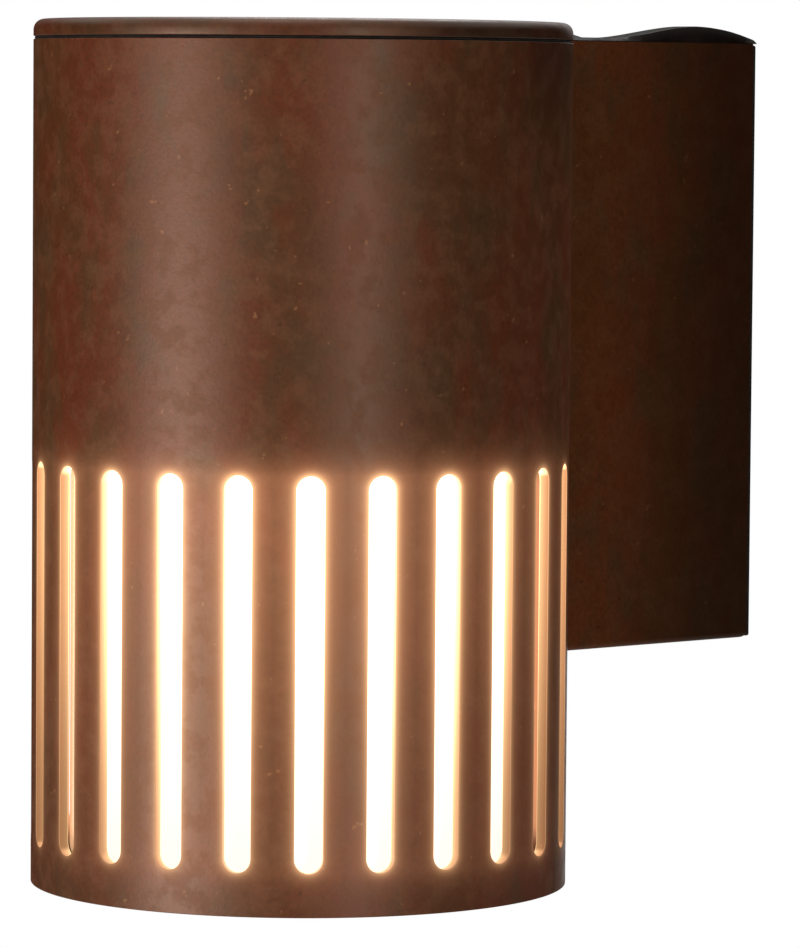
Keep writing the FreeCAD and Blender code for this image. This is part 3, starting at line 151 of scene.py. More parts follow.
def rustPowderCoat(name, tones, seed, glow=None, colourOverlay=None):
    coat = rustCoat
    material, tree, shader = newMaterial(
        name, tones["brown"], Roughness=coat["roughness"], Metallic=0.0,
        Specular_IOR_Level=tones["gloss"], Specular_Tint=linear(coat["glossTint"]))
    point = objectPoint(tree, (1, 1, coat["streakStretch"]), seed)
    even = objectPoint(tree, (1, 1, 1), seed)
    blotch = remap(tree, noise(tree, point, coat["blotchMm"], 3, 0.5, 0.6), *coat["blotchEdge"])
    patch = remap(tree, noise(tree, point, coat["patchMm"], 5, 0.6, 0.4), *coat["patchEdge"])
    cloud = remap(tree, noise(tree, even, coat["cloudMm"], 4, 0.6), *coat["cloudEdge"])
    grain = remap(tree, noise(tree, even, coat["grainMm"], 3, 0.6), *coat["grainEdge"], 0,
                  coat["grainShare"])
    colour = mixColour(tree, blotch, tones["brown"], tones["red"])
    oliveShare = maths(tree, "MULTIPLY", patch, coat["patchShare"])
    colour = mixColour(tree, oliveShare, colour, tones["olive"])
    lightShare = maths(tree, "MULTIPLY", cloud, coat["cloudShare"])
    colour = mixColour(tree, lightShare, colour, tones["light"])
    colour = mixColour(tree, grain, colour, tones["dark"])
    speck = noise(tree, even, coat["speckMm"], 2, 0.7)
    paleSpeck = remap(tree, speck, *coat["paleEdge"], 0, coat["paleShare"])
    darkSpeck = remap(tree, speck, *coat["darkEdge"], coat["darkShare"], 0)
    colour = mixColour(tree, paleSpeck, colour, tones["pale"])
    colour = mixColour(tree, darkSpeck, colour, tones["dark"])
    # Colour laid over the coat where one is given: painted shade towards the wall, painted shade in
    # the corner by the bracket, or the paler coat on the cut walls.
    if colourOverlay:
        colour = colourOverlay(tree, colour)
    tree.links.new(colour, shader.inputs["Base Color"])
    least, most = coat["roughSpread"]
    rough = remap(tree, cloud, 0, 1, coat["roughness"] * least, coat["roughness"] * most)
    tree.links.new(rough, shader.inputs["Roughness"])
    peel = noise(tree, even, coat["peelMm"], 2, 0.5)
    height = maths(tree, "ADD", peel, maths(tree, "MULTIPLY", cloud, coat["cloudRelief"]))
    addBump(tree, shader, height, coat["peelStrength"], coat["peelDepthMm"])
    # Painted glow round the slots or on the cut walls, where one is given.
    if glow:
        glow(tree, shader)
    return material


# Painted glow round the slots, standing in for the light that spills round them: the coat is given
# a glow close to their edges and faintly between them, more high up beside the bulb and less where
# the tube turns away from the eye. The distance to the nearest slot is worked out round the tube.
# The tube's inner face is given a painted glow wherever the cup stands behind it. Lengths are in
# millimetres, pitch and last slot in degrees from the front.

paintedSlotGlow = {
    "pitch": 15.0, "lastSlot": 127.5, "radius": 55.0, "halfWidth": 2.9, "low": -98.3,
    "high": -25.75, "endRoom": 0.6, "near": 1.1, "nearFade": 0.6, "wide": 0.37, "wideFade": 7.0,
    "endShare": 1.6, "bottomShare": 0.4, "nearTone": "#ffc78e", "wideTone": "#ffac7b",
    "inner": 54.0, "innerGlow": 0.55, "innerLow": (-106, -100), "innerHigh": (-30, -22),
}


# How far a point is from the tube's axis.
def fromAxis(tree):
    point = objectPoint(tree, (1, 1, 1), (0, -axisY, 0))
    flat = addNode(tree, "ShaderNodeVectorMath", {1: (1, 1, 0)}, {0: point},
                   operation="MULTIPLY").outputs[0]
    return addNode(tree, "ShaderNodeVectorMath", links={0: flat},
                   operation="LENGTH").outputs["Value"]


# Paints the glow round the slots into the coat's emission.
def paintedGlowBySlots(tree, shader):
    facts = paintedSlotGlow
    place = addNode(tree, "ShaderNodeSeparateXYZ",
                    links={"Vector": objectPoint(tree, (1, 1, 1), (0, -axisY, 0))}).outputs
    turn = maths(tree, "ARCTAN2", place[0], maths(tree, "MULTIPLY", place[1], -1))
    degrees = maths(tree, "ABSOLUTE", maths(tree, "DEGREES", turn))
    fromBar = maths(tree, "PINGPONG", degrees, facts["pitch"] / 2)
    between = maths(tree, "MULTIPLY", maths(tree, "SUBTRACT", facts["pitch"] / 2, fromBar),
                    maths(tree, "LESS_THAN", degrees, facts["lastSlot"]))
    beyond = maths(tree, "SUBTRACT", degrees, facts["lastSlot"])
    across = maths(tree, "MULTIPLY", maths(tree, "MAXIMUM", between, beyond),
                   math.radians(facts["radius"]))
    height = maths(tree, "DIVIDE", place[2], mm)
    over = maths(tree, "MAXIMUM", maths(tree, "SUBTRACT", height, facts["high"]),
                 maths(tree, "SUBTRACT", facts["low"], height))
    over = maths(tree, "MAXIMUM", over, 0)
    reach = maths(tree, "SQRT", maths(tree, "ADD", maths(tree, "MULTIPLY", across, across),
                                      maths(tree, "MULTIPLY", over, over)))
    away = maths(tree, "MAXIMUM", maths(tree, "SUBTRACT", reach, facts["halfWidth"]), 0)
    pastEnds = maths(tree, "MAXIMUM", maths(tree, "SUBTRACT", over, facts["halfWidth"]), 0)
    further = maths(tree, "MULTIPLY_ADD", pastEnds, facts["endShare"], away)
    high = remap(tree, height, facts["low"], facts["high"], facts["bottomShare"], 1)
    turned = addNode(tree, "ShaderNodeLayerWeight", {"Blend": 0.5}).outputs["Facing"]
    slotted = maths(tree, "MULTIPLY", high, maths(tree, "SUBTRACT", 1, turned))
    near = maths(tree, "EXPONENT", maths(tree, "DIVIDE", away, -facts["nearFade"]))
    wide = maths(tree, "EXPONENT", maths(tree, "DIVIDE", further, -facts["wideFade"]))
    near = maths(tree, "MULTIPLY", maths(tree, "MULTIPLY", near, slotted), facts["near"])
    wide = maths(tree, "MULTIPLY", maths(tree, "MULTIPLY", wide, slotted), facts["wide"])
    behind = maths(tree, "LESS_THAN", fromAxis(tree), facts["inner"] * mm)
    overFoot = remap(tree, height, *facts["innerLow"], 0, facts["innerGlow"])
    behind = maths(tree, "MULTIPLY", behind, overFoot)
    behind = maths(tree, "MULTIPLY", behind, remap(tree, height, *facts["innerHigh"], 1, 0))
    total = maths(tree, "ADD", maths(tree, "ADD", near, wide), behind)
    share = maths(tree, "DIVIDE", near, maths(tree, "MAXIMUM", total, 0.001))
    tree.links.new(mixColour(tree, share, facts["wideTone"], facts["nearTone"]),
                   shader.inputs["Emission Color"])
    tree.links.new(total, shader.inputs["Emission Strength"])


# One where a point is as high as the slots, nought at the tube's two ends.
def insideSlots(tree):
    height = addNode(tree, "ShaderNodeSeparateXYZ", links={"Vector": objectPoint(tree)}).outputs[2]
    middle = (paintedSlotGlow["low"] + paintedSlotGlow["high"]) / 2
    reach = (paintedSlotGlow["high"] - paintedSlotGlow["low"]) / 2 + paintedSlotGlow["halfWidth"] + paintedSlotGlow["endRoom"]
    return maths(tree, "COMPARE", height, middle * mm, reach * mm)


# On the slots' cut walls the coat is paler. They carry a painted glow that stands in for the cup's
# light, strongest near the cup, and a painted gleam where they are seen at a slant.

cutWalls = {
    "outer": 54.9, "inner": 53.1, "outerGlow": 0.48, "innerGlow": 1.0, "rise": 1.5,
    "bottomShare": 0.25, "paintedGleam": 4.0, "gleamFacing": (0.13, 0.36), "outerTone": "#ffb684",
    "innerTone": "#ffd79c", "pale": "#b08a62", "paleShare": 0.55,
}


def paleInSlots(tree, colour):
    share = maths(tree, "MULTIPLY", insideSlots(tree), cutWalls["paleShare"])
    return mixColour(tree, share, colour, cutWalls["pale"])


def paintedEdgeGlow(tree, shader):
    facts = cutWalls
    height = addNode(tree, "ShaderNodeSeparateXYZ", links={"Vector": objectPoint(tree)}).outputs[2]
    inward = remap(tree, fromAxis(tree), facts["outer"] * mm, facts["inner"] * mm, 0, 1, False)
    upward = remap(tree, height, paintedSlotGlow["low"] * mm, paintedSlotGlow["high"] * mm,
                   facts["bottomShare"], 1)
    strength = maths(tree, "MULTIPLY_ADD", maths(tree, "POWER", inward, facts["rise"]),
                     facts["innerGlow"] - facts["outerGlow"], facts["outerGlow"])
    tree.links.new(mixColour(tree, inward, facts["outerTone"], facts["innerTone"]),
                   shader.inputs["Emission Color"])
    turned = addNode(tree, "ShaderNodeLayerWeight", {"Blend": 0.5}).outputs["Facing"]
    # Painted gleam where the walls are seen at a slant.
    paintedGleam = remap(tree, turned, *facts["gleamFacing"], 1, facts["paintedGleam"])
    strength = maths(tree, "MULTIPLY", maths(tree, "MULTIPLY", strength, paintedGleam), insideSlots(tree))
    tree.links.new(maths(tree, "MULTIPLY", strength, upward), shader.inputs["Emission Strength"])


# The bracket's coat is painted darker towards the wall: painted shade. The range is in millimetres
# from the wall.

wallShade = {"along": (-52, -4), "share": 0.75, "wallShadeTone": "#1a0e07"}


def paintedShadeToWall(tree, colour):
    along = addNode(tree, "ShaderNodeSeparateXYZ", links={"Vector": objectPoint(tree)}).outputs[1]
    start, end = wallShade["along"]
    share = remap(tree, along, start * mm, end * mm, 0, wallShade["share"])
    return mixColour(tree, share, colour, wallShade["wallShadeTone"])


# Painted shade high up in the corner between the tube and the bracket, and on the lid's rim beside
# it. The two ranges along are in millimetres from the wall.

cornerShade = {
    "onTube": (-97, -79), "onLid": (-124, -106), "low": 32, "high": 66, "rim": (49, 54),
    "share": 0.66, "cornerShadeTone": "#140d06",
}


def paintedCornerShade(tree, colour, along):
    place = addNode(tree, "ShaderNodeSeparateXYZ", links={"Vector": objectPoint(tree)}).outputs
    back = remap(tree, place[1], along[0] * mm, along[1] * mm)
    high = remap(tree, place[2], cornerShade["low"] * mm, cornerShade["high"] * mm, 0, cornerShade["share"])
    rim = remap(tree, fromAxis(tree), cornerShade["rim"][0] * mm, cornerShade["rim"][1] * mm)
    share = maths(tree, "MULTIPLY", maths(tree, "MULTIPLY", back, high), rim)
    return mixColour(tree, share, colour, cornerShade["cornerShadeTone"])


def tubeCornerShade(tree, colour):
    return paintedCornerShade(tree, colour, cornerShade["onTube"])


def lidCornerShade(tree, colour):
    return paintedCornerShade(tree, colour, cornerShade["onLid"])


tubeTones = {
    "brown": "#542f18", "red": "#602d18", "olive": "#4c361f", "light": "#6b4228",
    "dark": "#30190b", "pale": "#926341", "gloss": 0.45,
}
lidTones = {
    "brown": "#4e2b15", "red": "#572815", "olive": "#46301c", "light": "#613b23",
    "dark": "#2b1609", "pale": "#825637", "gloss": 0.45,
}
bracketTones = {
    "brown": "#553018", "red": "#60321a", "olive": "#4a3520", "light": "#633e25",
    "dark": "#301b0d", "pale": "#775339", "gloss": 0.07,
}
coatPlaces = {    # where each coat's pattern starts, so that no two pieces show the same blotches
    "tube": (0.031, 0.012, 0.02), "lid": (0.21, 0.05, 0.11), "bracket": (0.4, 0.17, 0.06),
}


# Moulded and drawn finishes with a little life in their surface: each has a base colour, a second
# one that mottles it, the size of the mottle and of the surface texture, and its gloss.

finishes = {
    # satin black moulded nylon: fine spark-eroded texture
    "mouldedNylon": {"base": "#140e0b", "second": "#1d1512", "mottle": 6, "texture": 0.5,
                     "depth": 0.05, "rough": 0.46, "metal": 0, "gloss": 0.045},
    # moulded EPDM rubber: dull, with a slight bloom
    "mouldedRubber": {"base": "#151312", "second": "#211e1c", "mottle": 4, "texture": 0.4,
                      "depth": 0.03, "rough": 0.8, "metal": 0, "gloss": 0.2},
    # zinc plated mild steel: pale grey with a faint yellow cast and rolled grain
    "zincPlate": {"base": "#b3b3ae", "second": "#a09f97", "mottle": 7, "texture": 0.6,
                  "depth": 0.02, "rough": 0.36, "metal": 1},
    # plain A2 stainless fasteners
    "stainless": {"base": "#b9b7b1", "second": "#a5a29b", "mottle": 2, "texture": 0.3,
                  "depth": 0.015, "rough": 0.3, "metal": 1},
    # rolled spring strip: slightly blued
    "springStrip": {"base": "#a2a3a6", "second": "#8c8e95", "mottle": 3, "texture": 0.3,
                    "depth": 0.01, "rough": 0.28, "metal": 1},
    # natural moulded polyamide terminals
    "naturalPolyamide": {"base": "#ddd8c8", "second": "#cfc9b6", "mottle": 4, "texture": 0.4,
                         "depth": 0.02, "rough": 0.4, "metal": 0},
    # turned and stamped brass
    "plainBrass": {"base": "#c9a45a", "second": "#b48c46", "mottle": 2.5, "texture": 0.3,
                   "depth": 0.012, "rough": 0.3, "metal": 1},
    # black phenolic moulding: glassy skin over a faint brown cast
    "blackPhenolic": {"base": "#1d1917", "second": "#26211e", "mottle": 5, "texture": 0.7,
                      "depth": 0.02, "rough": 0.3, "metal": 0},
    # unglazed white porcelain
    "porcelain": {"base": "#e6e2d8", "second": "#d9d3c6", "mottle": 3, "texture": 0.35,
                  "depth": 0.03, "rough": 0.6, "metal": 0},
    # nickel plated brass sheet, rolled thread
    "nickelPlate": {"base": "#bcb6aa", "second": "#a8a196", "mottle": 3, "texture": 0.3,
                    "depth": 0.01, "rough": 0.24, "metal": 1},
    # black vitrified glass of the bulb's cap
    "blackGlass": {"base": "#121012", "second": "#1b181b", "mottle": 3, "texture": 0.6,
                   "depth": 0.03, "rough": 0.15, "metal": 0},
    # white moulded bulb body: slightly translucent polycarbonate
    "whiteMoulding": {"base": "#e9e8e3", "second": "#dedcd5", "mottle": 8, "texture": 0.5,
                      "depth": 0.02, "rough": 0.38, "metal": 0},
    # white solder mask over an aluminium board
    "solderMask": {"base": "#e8e9e6", "second": "#dadbd7", "mottle": 5, "texture": 0.4,
                   "depth": 0.01, "rough": 0.45, "metal": 0},
    # yellow phosphor gel
    "phosphorGel": {"base": "#e2c445", "second": "#d1b036", "mottle": 1, "texture": 0.3,
                    "depth": 0.02, "rough": 0.35, "metal": 0},
    # brown and blue PVC insulation: smooth and waxy
    "brownInsulation": {"base": "#5a2f1a", "second": "#4c2614", "mottle": 4, "texture": 0.5,
                        "depth": 0.02, "rough": 0.42, "metal": 0},
    "blueInsulation": {"base": "#2857a3", "second": "#214b91", "mottle": 4, "texture": 0.5,
                       "depth": 0.02, "rough": 0.42, "metal": 0},
}


def makeFinish(name):
    facts = finishes[name]
    material, tree, shader = newMaterial(name, facts["base"], Roughness=facts["rough"],
                                         Metallic=facts["metal"],
                                         Specular_IOR_Level=facts.get("gloss", 0.5))
    point = objectPoint(tree)
    mottle = remap(tree, noise(tree, point, facts["mottle"], 4, 0.6), 0.35, 0.68)
    tree.links.new(mixColour(tree, mottle, facts["base"], facts["second"]),
                   shader.inputs["Base Color"])
    rough = remap(tree, noise(tree, point, facts["mottle"] * 0.6, 3), 0.3, 0.7,
                  facts["rough"] * 0.85, facts["rough"] * 1.2)
    tree.links.new(rough, shader.inputs["Roughness"])
    addBump(tree, shader, noise(tree, point, facts["texture"], 3), 0.4, facts["depth"])
    return material


# Earth wire: smooth PVC in green with yellow stripes, a few millimetres apart.

earthWire = {"green": "#3d7a2d", "yellow": "#d8c51f", "stripeMm": 8.8, "stripes": 3, "waver": 0.6}


def stripedInsulation():
    facts = earthWire
    material, tree, shader = newMaterial("greenYellowInsulation", facts["green"], Roughness=0.42)
    point = objectPoint(tree)
    scale = 1 / (facts["stripeMm"] * mm) / math.tau * facts["stripes"]
    wave = addNode(tree, "ShaderNodeTexWave", {"Scale": scale, "Distortion": facts["waver"]},
                   {"Vector": point}, bands_direction="DIAGONAL").outputs[1]
    stripe = remap(tree, wave, 0.45, 0.55)
    tree.links.new(mixColour(tree, stripe, facts["green"], facts["yellow"]),
                   shader.inputs["Base Color"])
    addBump(tree, shader, noise(tree, point, 0.5, 3), 0.3, 0.02)
    return material


# Opal acrylic, moulded and lit from inside: milky and even, a little warmer and dimmer away from
# the bulb and on the cup's floor. The bulb's frosted globe glows the same way. Both are painted
# brightest where they face the eye, and dimmer and warmer where they turn away: painted shade on
# their glow.

opal = {
    "glow": 1.7, "globeGlow": 1.6, "white": "#fff3dc", "limb": "#ffcf94", "limbFacing": (0.5, 0.8),
    "limbShare": 0.3, "lowest": -106, "highest": -30, "bottomShare": 0.65, "floorTop": -102.4,
    "floorShare": 0.42, "cupTones": ("#f6f1e7", "#ece5d6"), "cupCloudMm": 18,
    "globeTones": ("#f8f4ec", "#efe9dc"), "globeCloudMm": 12, "milkDepth": (3.0, 3.0, 2.4),
}


def litFromInside(tree, shader, glow):
    # Painted shade: the glow is dimmer and warmer where the surface turns away from the eye.
    turned = addNode(tree, "ShaderNodeLayerWeight", {"Blend": 0.5}).outputs["Facing"]
    limb = remap(tree, turned, *opal["limbFacing"])
    tree.links.new(mixColour(tree, limb, opal["white"], opal["limb"]),
                   shader.inputs["Emission Color"])
    return maths(tree, "MULTIPLY", remap(tree, limb, 0, 1, 1, opal["limbShare"], False), glow)


def opalAcrylic():
    material, tree, shader = newMaterial("litOpalAcrylic", "#f4efe4", Roughness=0.28,
                                         Subsurface_Weight=0.2)
    shader.inputs["Subsurface Radius"].default_value = [depth * mm for depth in opal["milkDepth"]]
    point = objectPoint(tree)
    cloud = remap(tree, noise(tree, point, opal["cupCloudMm"], 2), 0.3, 0.7)
    tree.links.new(mixColour(tree, cloud, *opal["cupTones"]), shader.inputs["Base Color"])
    height = addNode(tree, "ShaderNodeSeparateXYZ", links={"Vector": point}).outputs[2]
    lowest = opal["lowest"] * mm
    upward = remap(tree, height, lowest, opal["highest"] * mm, opal["bottomShare"], 1)
    overFloor = remap(tree, height, lowest, opal["floorTop"] * mm, opal["floorShare"], 1)
    strength = maths(tree, "MULTIPLY", litFromInside(tree, shader, opal["glow"]), upward)
    strength = maths(tree, "MULTIPLY", strength, overFloor)
    tree.links.new(strength, shader.inputs["Emission Strength"])
    addBump(tree, shader, noise(tree, point, 0.9, 2), 0.1, 0.02)
    return material


def frostedGlobe():
    material, tree, shader = newMaterial("frostedGlobe", "#f7f3ea", Roughness=0.45)
    strength = litFromInside(tree, shader, opal["globeGlow"])
    tree.links.new(strength, shader.inputs["Emission Strength"])
    point = objectPoint(tree)
    cloud = remap(tree, noise(tree, point, opal["globeCloudMm"], 2), 0.3, 0.7)
    tree.links.new(mixColour(tree, cloud, *opal["globeTones"]), shader.inputs["Base Color"])
    addBump(tree, shader, noise(tree, point, 0.4, 3), 0.2, 0.02)
    return material


materials = {name: makeFinish(name) for name in finishes}
# The tube's coat carries the painted glow round the slots and painted shade in the corner by the
# bracket.
materials["rustTube"] = rustPowderCoat("rustPowderCoatTube", tubeTones, coatPlaces["tube"],
                                       glow=paintedGlowBySlots, colourOverlay=tubeCornerShade)
# The lid's coat carries painted shade on its rim by the bracket.
materials["rustLid"] = rustPowderCoat("rustPowderCoatLid", lidTones, coatPlaces["lid"],
                                      colourOverlay=lidCornerShade)
# The bracket's coat carries painted shade towards the wall.
materials["rustBracket"] = rustPowderCoat("rustPowderCoatBracket", bracketTones,
                                          coatPlaces["bracket"], colourOverlay=paintedShadeToWall)
# The cut walls carry a paler coat, a painted glow and a painted gleam.
materials["cutEdge"] = rustPowderCoat("cutEdgeCoatWithPaintedGlow", tubeTones, coatPlaces["tube"],
                                      glow=paintedEdgeGlow, colourOverlay=paleInSlots)
materials["opal"] = opalAcrylic()
materials["globe"] = frostedGlobe()
materials["earthInsulation"] = stripedInsulation()
print("materials made:", len(materials))


# Mesh helpers

# Gives a mesh its finish and its body, and hides the CAD nodes it stands for. Wall and edge are the
# sheet's thickness and the width of its soft edges, in millimetres.
def finishPiece(mesh, name, body, finish, replaced=(), edge=0.0, segments=2, angle=38,
                wall=0.0, rimFinish=None):
    data = bpy.data.meshes.new(name)
    mesh.to_mesh(data)
    mesh.free()
    piece = bpy.data.objects.new(name, data)
    bpy.context.scene.collection.objects.link(piece)
    data.materials.append(materials[finish])
    for face in data.polygons:
        face.use_smooth = True
    data.set_sharp_from_angle(angle=math.radians(angle))
    if wall:
        skin = piece.modifiers.new("sheetThickness", "SOLIDIFY")
        skin.thickness = wall * mm
        skin.offset = -1
        skin.use_even_offset = True
        if rimFinish:
            data.materials.append(materials[rimFinish])
            skin.material_offset_rim = 1
    if edge:
        soft = piece.modifiers.new("softEdges", "BEVEL")
        soft.width = edge * mm
        soft.segments = segments
        soft.limit_method = "ANGLE"
        soft.angle_limit = math.radians(angle)
        soft.harden_normals = True
    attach(piece, body)
    if replaced:
        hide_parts(*replaced)
    return piece


# Turns an open outline of (radius, height) in millimetres about an upright axis.
def turnedShape(outline, steps=160, centre=None, mesh=None):
    turned = bmesh.new()
    points = [turned.verts.new((radius * mm, 0, height * mm)) for radius, height in outline]
    edges = [turned.edges.new(pair) for pair in zip(points, points[1:])]
    bmesh.ops.spin(turned, geom=points + edges, axis=(0, 0, 1), cent=(0, 0, 0), steps=steps,
                   angle=math.tau, use_merge=True)
    bmesh.ops.remove_doubles(turned, verts=turned.verts, dist=weld)
    bmesh.ops.recalc_face_normals(turned, faces=turned.faces)
    bmesh.ops.translate(turned, verts=turned.verts, vec=centre or (0, axisY, 0))
    if mesh is None:
        return turned
    addInto(mesh, turned)
    return mesh


def addInto(mesh, other):
    data = bpy.data.meshes.new("part")
    other.to_mesh(data)
    other.free()
    mesh.from_mesh(data)
    bpy.data.meshes.remove(data)


# Points of an arc about a centre, from one angle to another, in degrees.
def arcPoints(centre, radius, start, end, steps):
    angles = [math.radians(start + (end - start) * i / steps) for i in range(steps + 1)]
    return [(centre[0] + radius * math.cos(a), centre[1] + radius * math.sin(a)) for a in angles]


# A CAD node's mesh is loose triangles, so its copy is merged and its flat faces are made whole.
def mergedCopy(node):
    mesh = bmesh.new()
    mesh.from_mesh(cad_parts[node].data)
    bmesh.ops.remove_doubles(mesh, verts=mesh.verts, dist=weld)
    bmesh.ops.dissolve_limit(mesh, angle_limit=flatWithin, verts=mesh.verts, edges=mesh.edges)
    return mesh


# Slotted tube, drawn unrolled in millimetres with its seam at the front: a ring of points round
# each hole is pulled out to the borders of its cell, and the whole sheet is then bent round. There
# is a slot in each cell more than slotsFrom degrees away from the bracket. Holes are given as
# radius, place across where it isn't the middle, and height.

slottedTube = {
    "radius": 55.0, "wall": 2.0, "edge": 0.42, "columns": 12, "rings": 4, "pitch": 15.0,
    "slotWidth": 5.8, "slotLow": -101.2, "slotHigh": -22.85, "slotsFrom": 52, "cellLow": -105.0,
    "levels": [-17.8, -6.0, 14.0, 24.0, 45.5, 54.5], "holedRows": (1, 3, 4), "weld": 0.005,
    "wireHole": (7.0, 36.0), "lowerScrew": (2.15, 4.0), "upperScrews": (2.15, 11.07, 50.0),
}


# A cell round one hole: its place across, its radius, and the heights of its two half circles.
def holedCell(sheet, left, right, low, high, columns, hole, rings):
    across, reach, lowEnd, highEnd = hole
    before = set(sheet.verts)
    bmesh.ops.create_circle(sheet, segments=2 * columns + 2, radius=1)
    ring = [vertex for vertex in sheet.verts if vertex not in before]
    for i, vertex in enumerate(ring):
        upper = i <= columns
        turn = math.pi * (i if upper else i - 1) / columns
        vertex.co = Vector((across + reach * math.cos(turn),
                            (highEnd if upper else lowEnd) + reach * math.sin(turn), 0))
    border = [edge for edge in sheet.edges if edge.verts[0] in ring and edge.verts[1] in ring]
    bmesh.ops.extrude_edge_only(sheet, edges=border)
    for i, vertex in enumerate(ring):
        outer = next(edge.other_vert(vertex) for edge in vertex.link_edges
                     if edge.other_vert(vertex) not in ring)
        step = (i if i <= columns else 2 * columns + 1 - i) / columns
        outer.co = Vector((right + (left - right) * step, high if i <= columns else low, 0))
    spokes = [edge for vertex in ring for edge in vertex.link_edges
              if edge.other_vert(vertex) not in ring]
    bmesh.ops.subdivide_edges(sheet, edges=spokes, cuts=rings, use_grid_fill=True)


def plainCell(sheet, left, right, low, high, columns):
    middle = Vector(((left + right) / 2, (low + high) / 2, 0))
    size = Matrix.Diagonal(((right - left) / 2, (high - low) / 2, 1, 1))
    bmesh.ops.create_grid(sheet, x_segments=columns, y_segments=1, size=1,
                          matrix=Matrix.Translation(middle) @ size)


def makeTube():
    facts = slottedTube
    radius, columns, rings = facts["radius"], facts["columns"], facts["rings"]
    bottom, top = tubeLow.z / mm, tubeHigh.z / mm
    levels = facts["levels"] + [top]
    step = math.radians(facts["pitch"]) * radius
    reach = facts["slotWidth"] / 2
    slot = (reach, facts["slotLow"] + reach, facts["slotHigh"] - reach)
    sheet = bmesh.new()
    count = round(360 / facts["pitch"])
    for number in range(count):
        left = (number - count / 2) * step
        middle = left + step / 2
        plainCell(sheet, left, left + step, bottom, facts["cellLow"], columns)
        if abs(math.degrees(middle / radius)) > facts["slotsFrom"]:
            holedCell(sheet, left, left + step, facts["cellLow"], levels[0], columns,
                      (middle, *slot), rings)
        else:
            plainCell(sheet, left, left + step, facts["cellLow"], levels[0], columns)
        for row, (low, high) in enumerate(zip(levels, levels[1:])):
            if abs(middle) > step or row not in facts["holedRows"]:
                plainCell(sheet, left, left + step, low, high, columns)
    wide = (-step, step)
    for hole, row in (("lowerScrew", 1), ("wireHole", 3)):
        holeRadius, height = facts[hole]
        holedCell(sheet, *wide, levels[row], levels[row + 1], 2 * columns,
                  (0, holeRadius, height, height), rings)
    holeRadius, across, height = facts["upperScrews"]
    for side in (-1, 1):
        holedCell(sheet, min(0, side * step), max(0, side * step), levels[4], levels[5], columns,
                  (side * across, holeRadius, height, height), 1)
    bmesh.ops.remove_doubles(sheet, verts=sheet.verts, dist=facts["weld"])
    for vertex in sheet.verts:
        turn = vertex.co.x / radius
        vertex.co = Vector((radius * math.sin(turn), radius * math.cos(turn), vertex.co.y)) * mm
    bmesh.ops.remove_doubles(sheet, verts=sheet.verts, dist=facts["weld"] * mm)
    bmesh.ops.recalc_face_normals(sheet, faces=sheet.faces)
    face = next(iter(sheet.faces))
    if face.normal.dot(face.calc_center_median() * Vector((1, 1, 0))) < 0:
        bmesh.ops.reverse_faces(sheet, faces=sheet.faces)
    bmesh.ops.translate(sheet, verts=sheet.verts, vec=(0, axisY, 0))
    return finishPiece(sheet, "slottedTube", fixture, "rustTube",
                       ["slotted_tube"], edge=facts["edge"], segments=3, wall=facts["wall"],
                       rimFinish="cutEdge")


makeTube()
print("tube made")


# Lid: a turned disc with a soft upper edge, a spigot inside the tube and three tapped bosses.

tubeLid = {
    "radius": 55.0, "round": 2.2, "lowerRound": 0.2, "skin": 2.6, "rim": 3.5,
    "spigot": (50.85, 52.85, 5.0), "chamfer": 0.4, "bossRadius": 4.5, "bossHole": 2.05,
    "bossLength": 14.0, "bossFloor": 3.0, "bossChamfer": 0.3, "bossSunk": 0.2, "bossCircle": 39.0,
    "bossAngles": (-90, 30, 150), "steps": 240, "bossSteps": 40,
}


def makeLid():
    facts = tubeLid
    radius, top = facts["radius"], lidHigh.z / mm
    under, rim = top - facts["skin"], top - facts["rim"]
    inner, outer, depth = facts["spigot"]
    rounding, lower = facts["round"], facts["lowerRound"]
    outline = [(0, top), (radius * 0.35, top), (radius * 0.7, top)]
    outline += arcPoints((radius - rounding, top - rounding), rounding, 90, 0, 10)
    outline += arcPoints((radius - lower, rim + lower), lower, 0, -90, 4)
    chamfer, foot = facts["chamfer"], rim - depth
    outline += [(outer, rim), (outer, foot + chamfer), (outer - chamfer, foot), (inner, foot),
                (inner, under), (0, under)]
    lid = turnedShape(outline, facts["steps"])
    low = under - facts["bossLength"]
    floor, sunk = low + facts["bossLength"] - facts["bossFloor"], under + facts["bossSunk"]
    hole, boss, soft = facts["bossHole"], facts["bossRadius"], facts["bossChamfer"]
    circle = facts["bossCircle"] * mm
    for angle in facts["bossAngles"]:
        turn = math.radians(angle)
        place = (circle * math.cos(turn), axisY + circle * math.sin(turn), 0)
        section = [(0, floor), (hole, floor), (hole, low), (boss - soft, low), (boss, low + soft),
                   (boss, sunk), (0, sunk)]
        turnedShape(section, facts["bossSteps"], place, lid)
    return finishPiece(lid, "tubeLid", fixture, "rustLid", ["top_lid"])


# The rubber under the lid bulges out almost to the tube's face.

lidSeal = {"squeezed": 0.55, "width": 1.2, "steps": 200}


def makeLidSeal():
    low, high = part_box("lid_gasket")
    outer = high.x / mm + lidSeal["squeezed"]
    inner = outer - lidSeal["width"]
    bottom, top = low.z / mm, high.z / mm
    bulge = (top - bottom) / 2
    outline = [(inner, top), (outer - bulge, top)]
    outline += arcPoints((outer - bulge, bottom + bulge), bulge, 90, -90, 8)
    outline += [(inner, bottom), (inner, top)]
    seal = turnedShape(outline, lidSeal["steps"])
    return finishPiece(seal, "lidSeal", fixture, "mouldedRubber", ["lid_gasket"])


makeLid()
makeLidSeal()
print("lid made")


# Cap of the bracket: a thin moulded lid, hollow in front where the tube stands, with a soft
# swelling along each side that rises towards the wall and leaves a shallow valley in the middle.
# Front and skirtFront are radii about the tube's axis, crown and rear are places along.

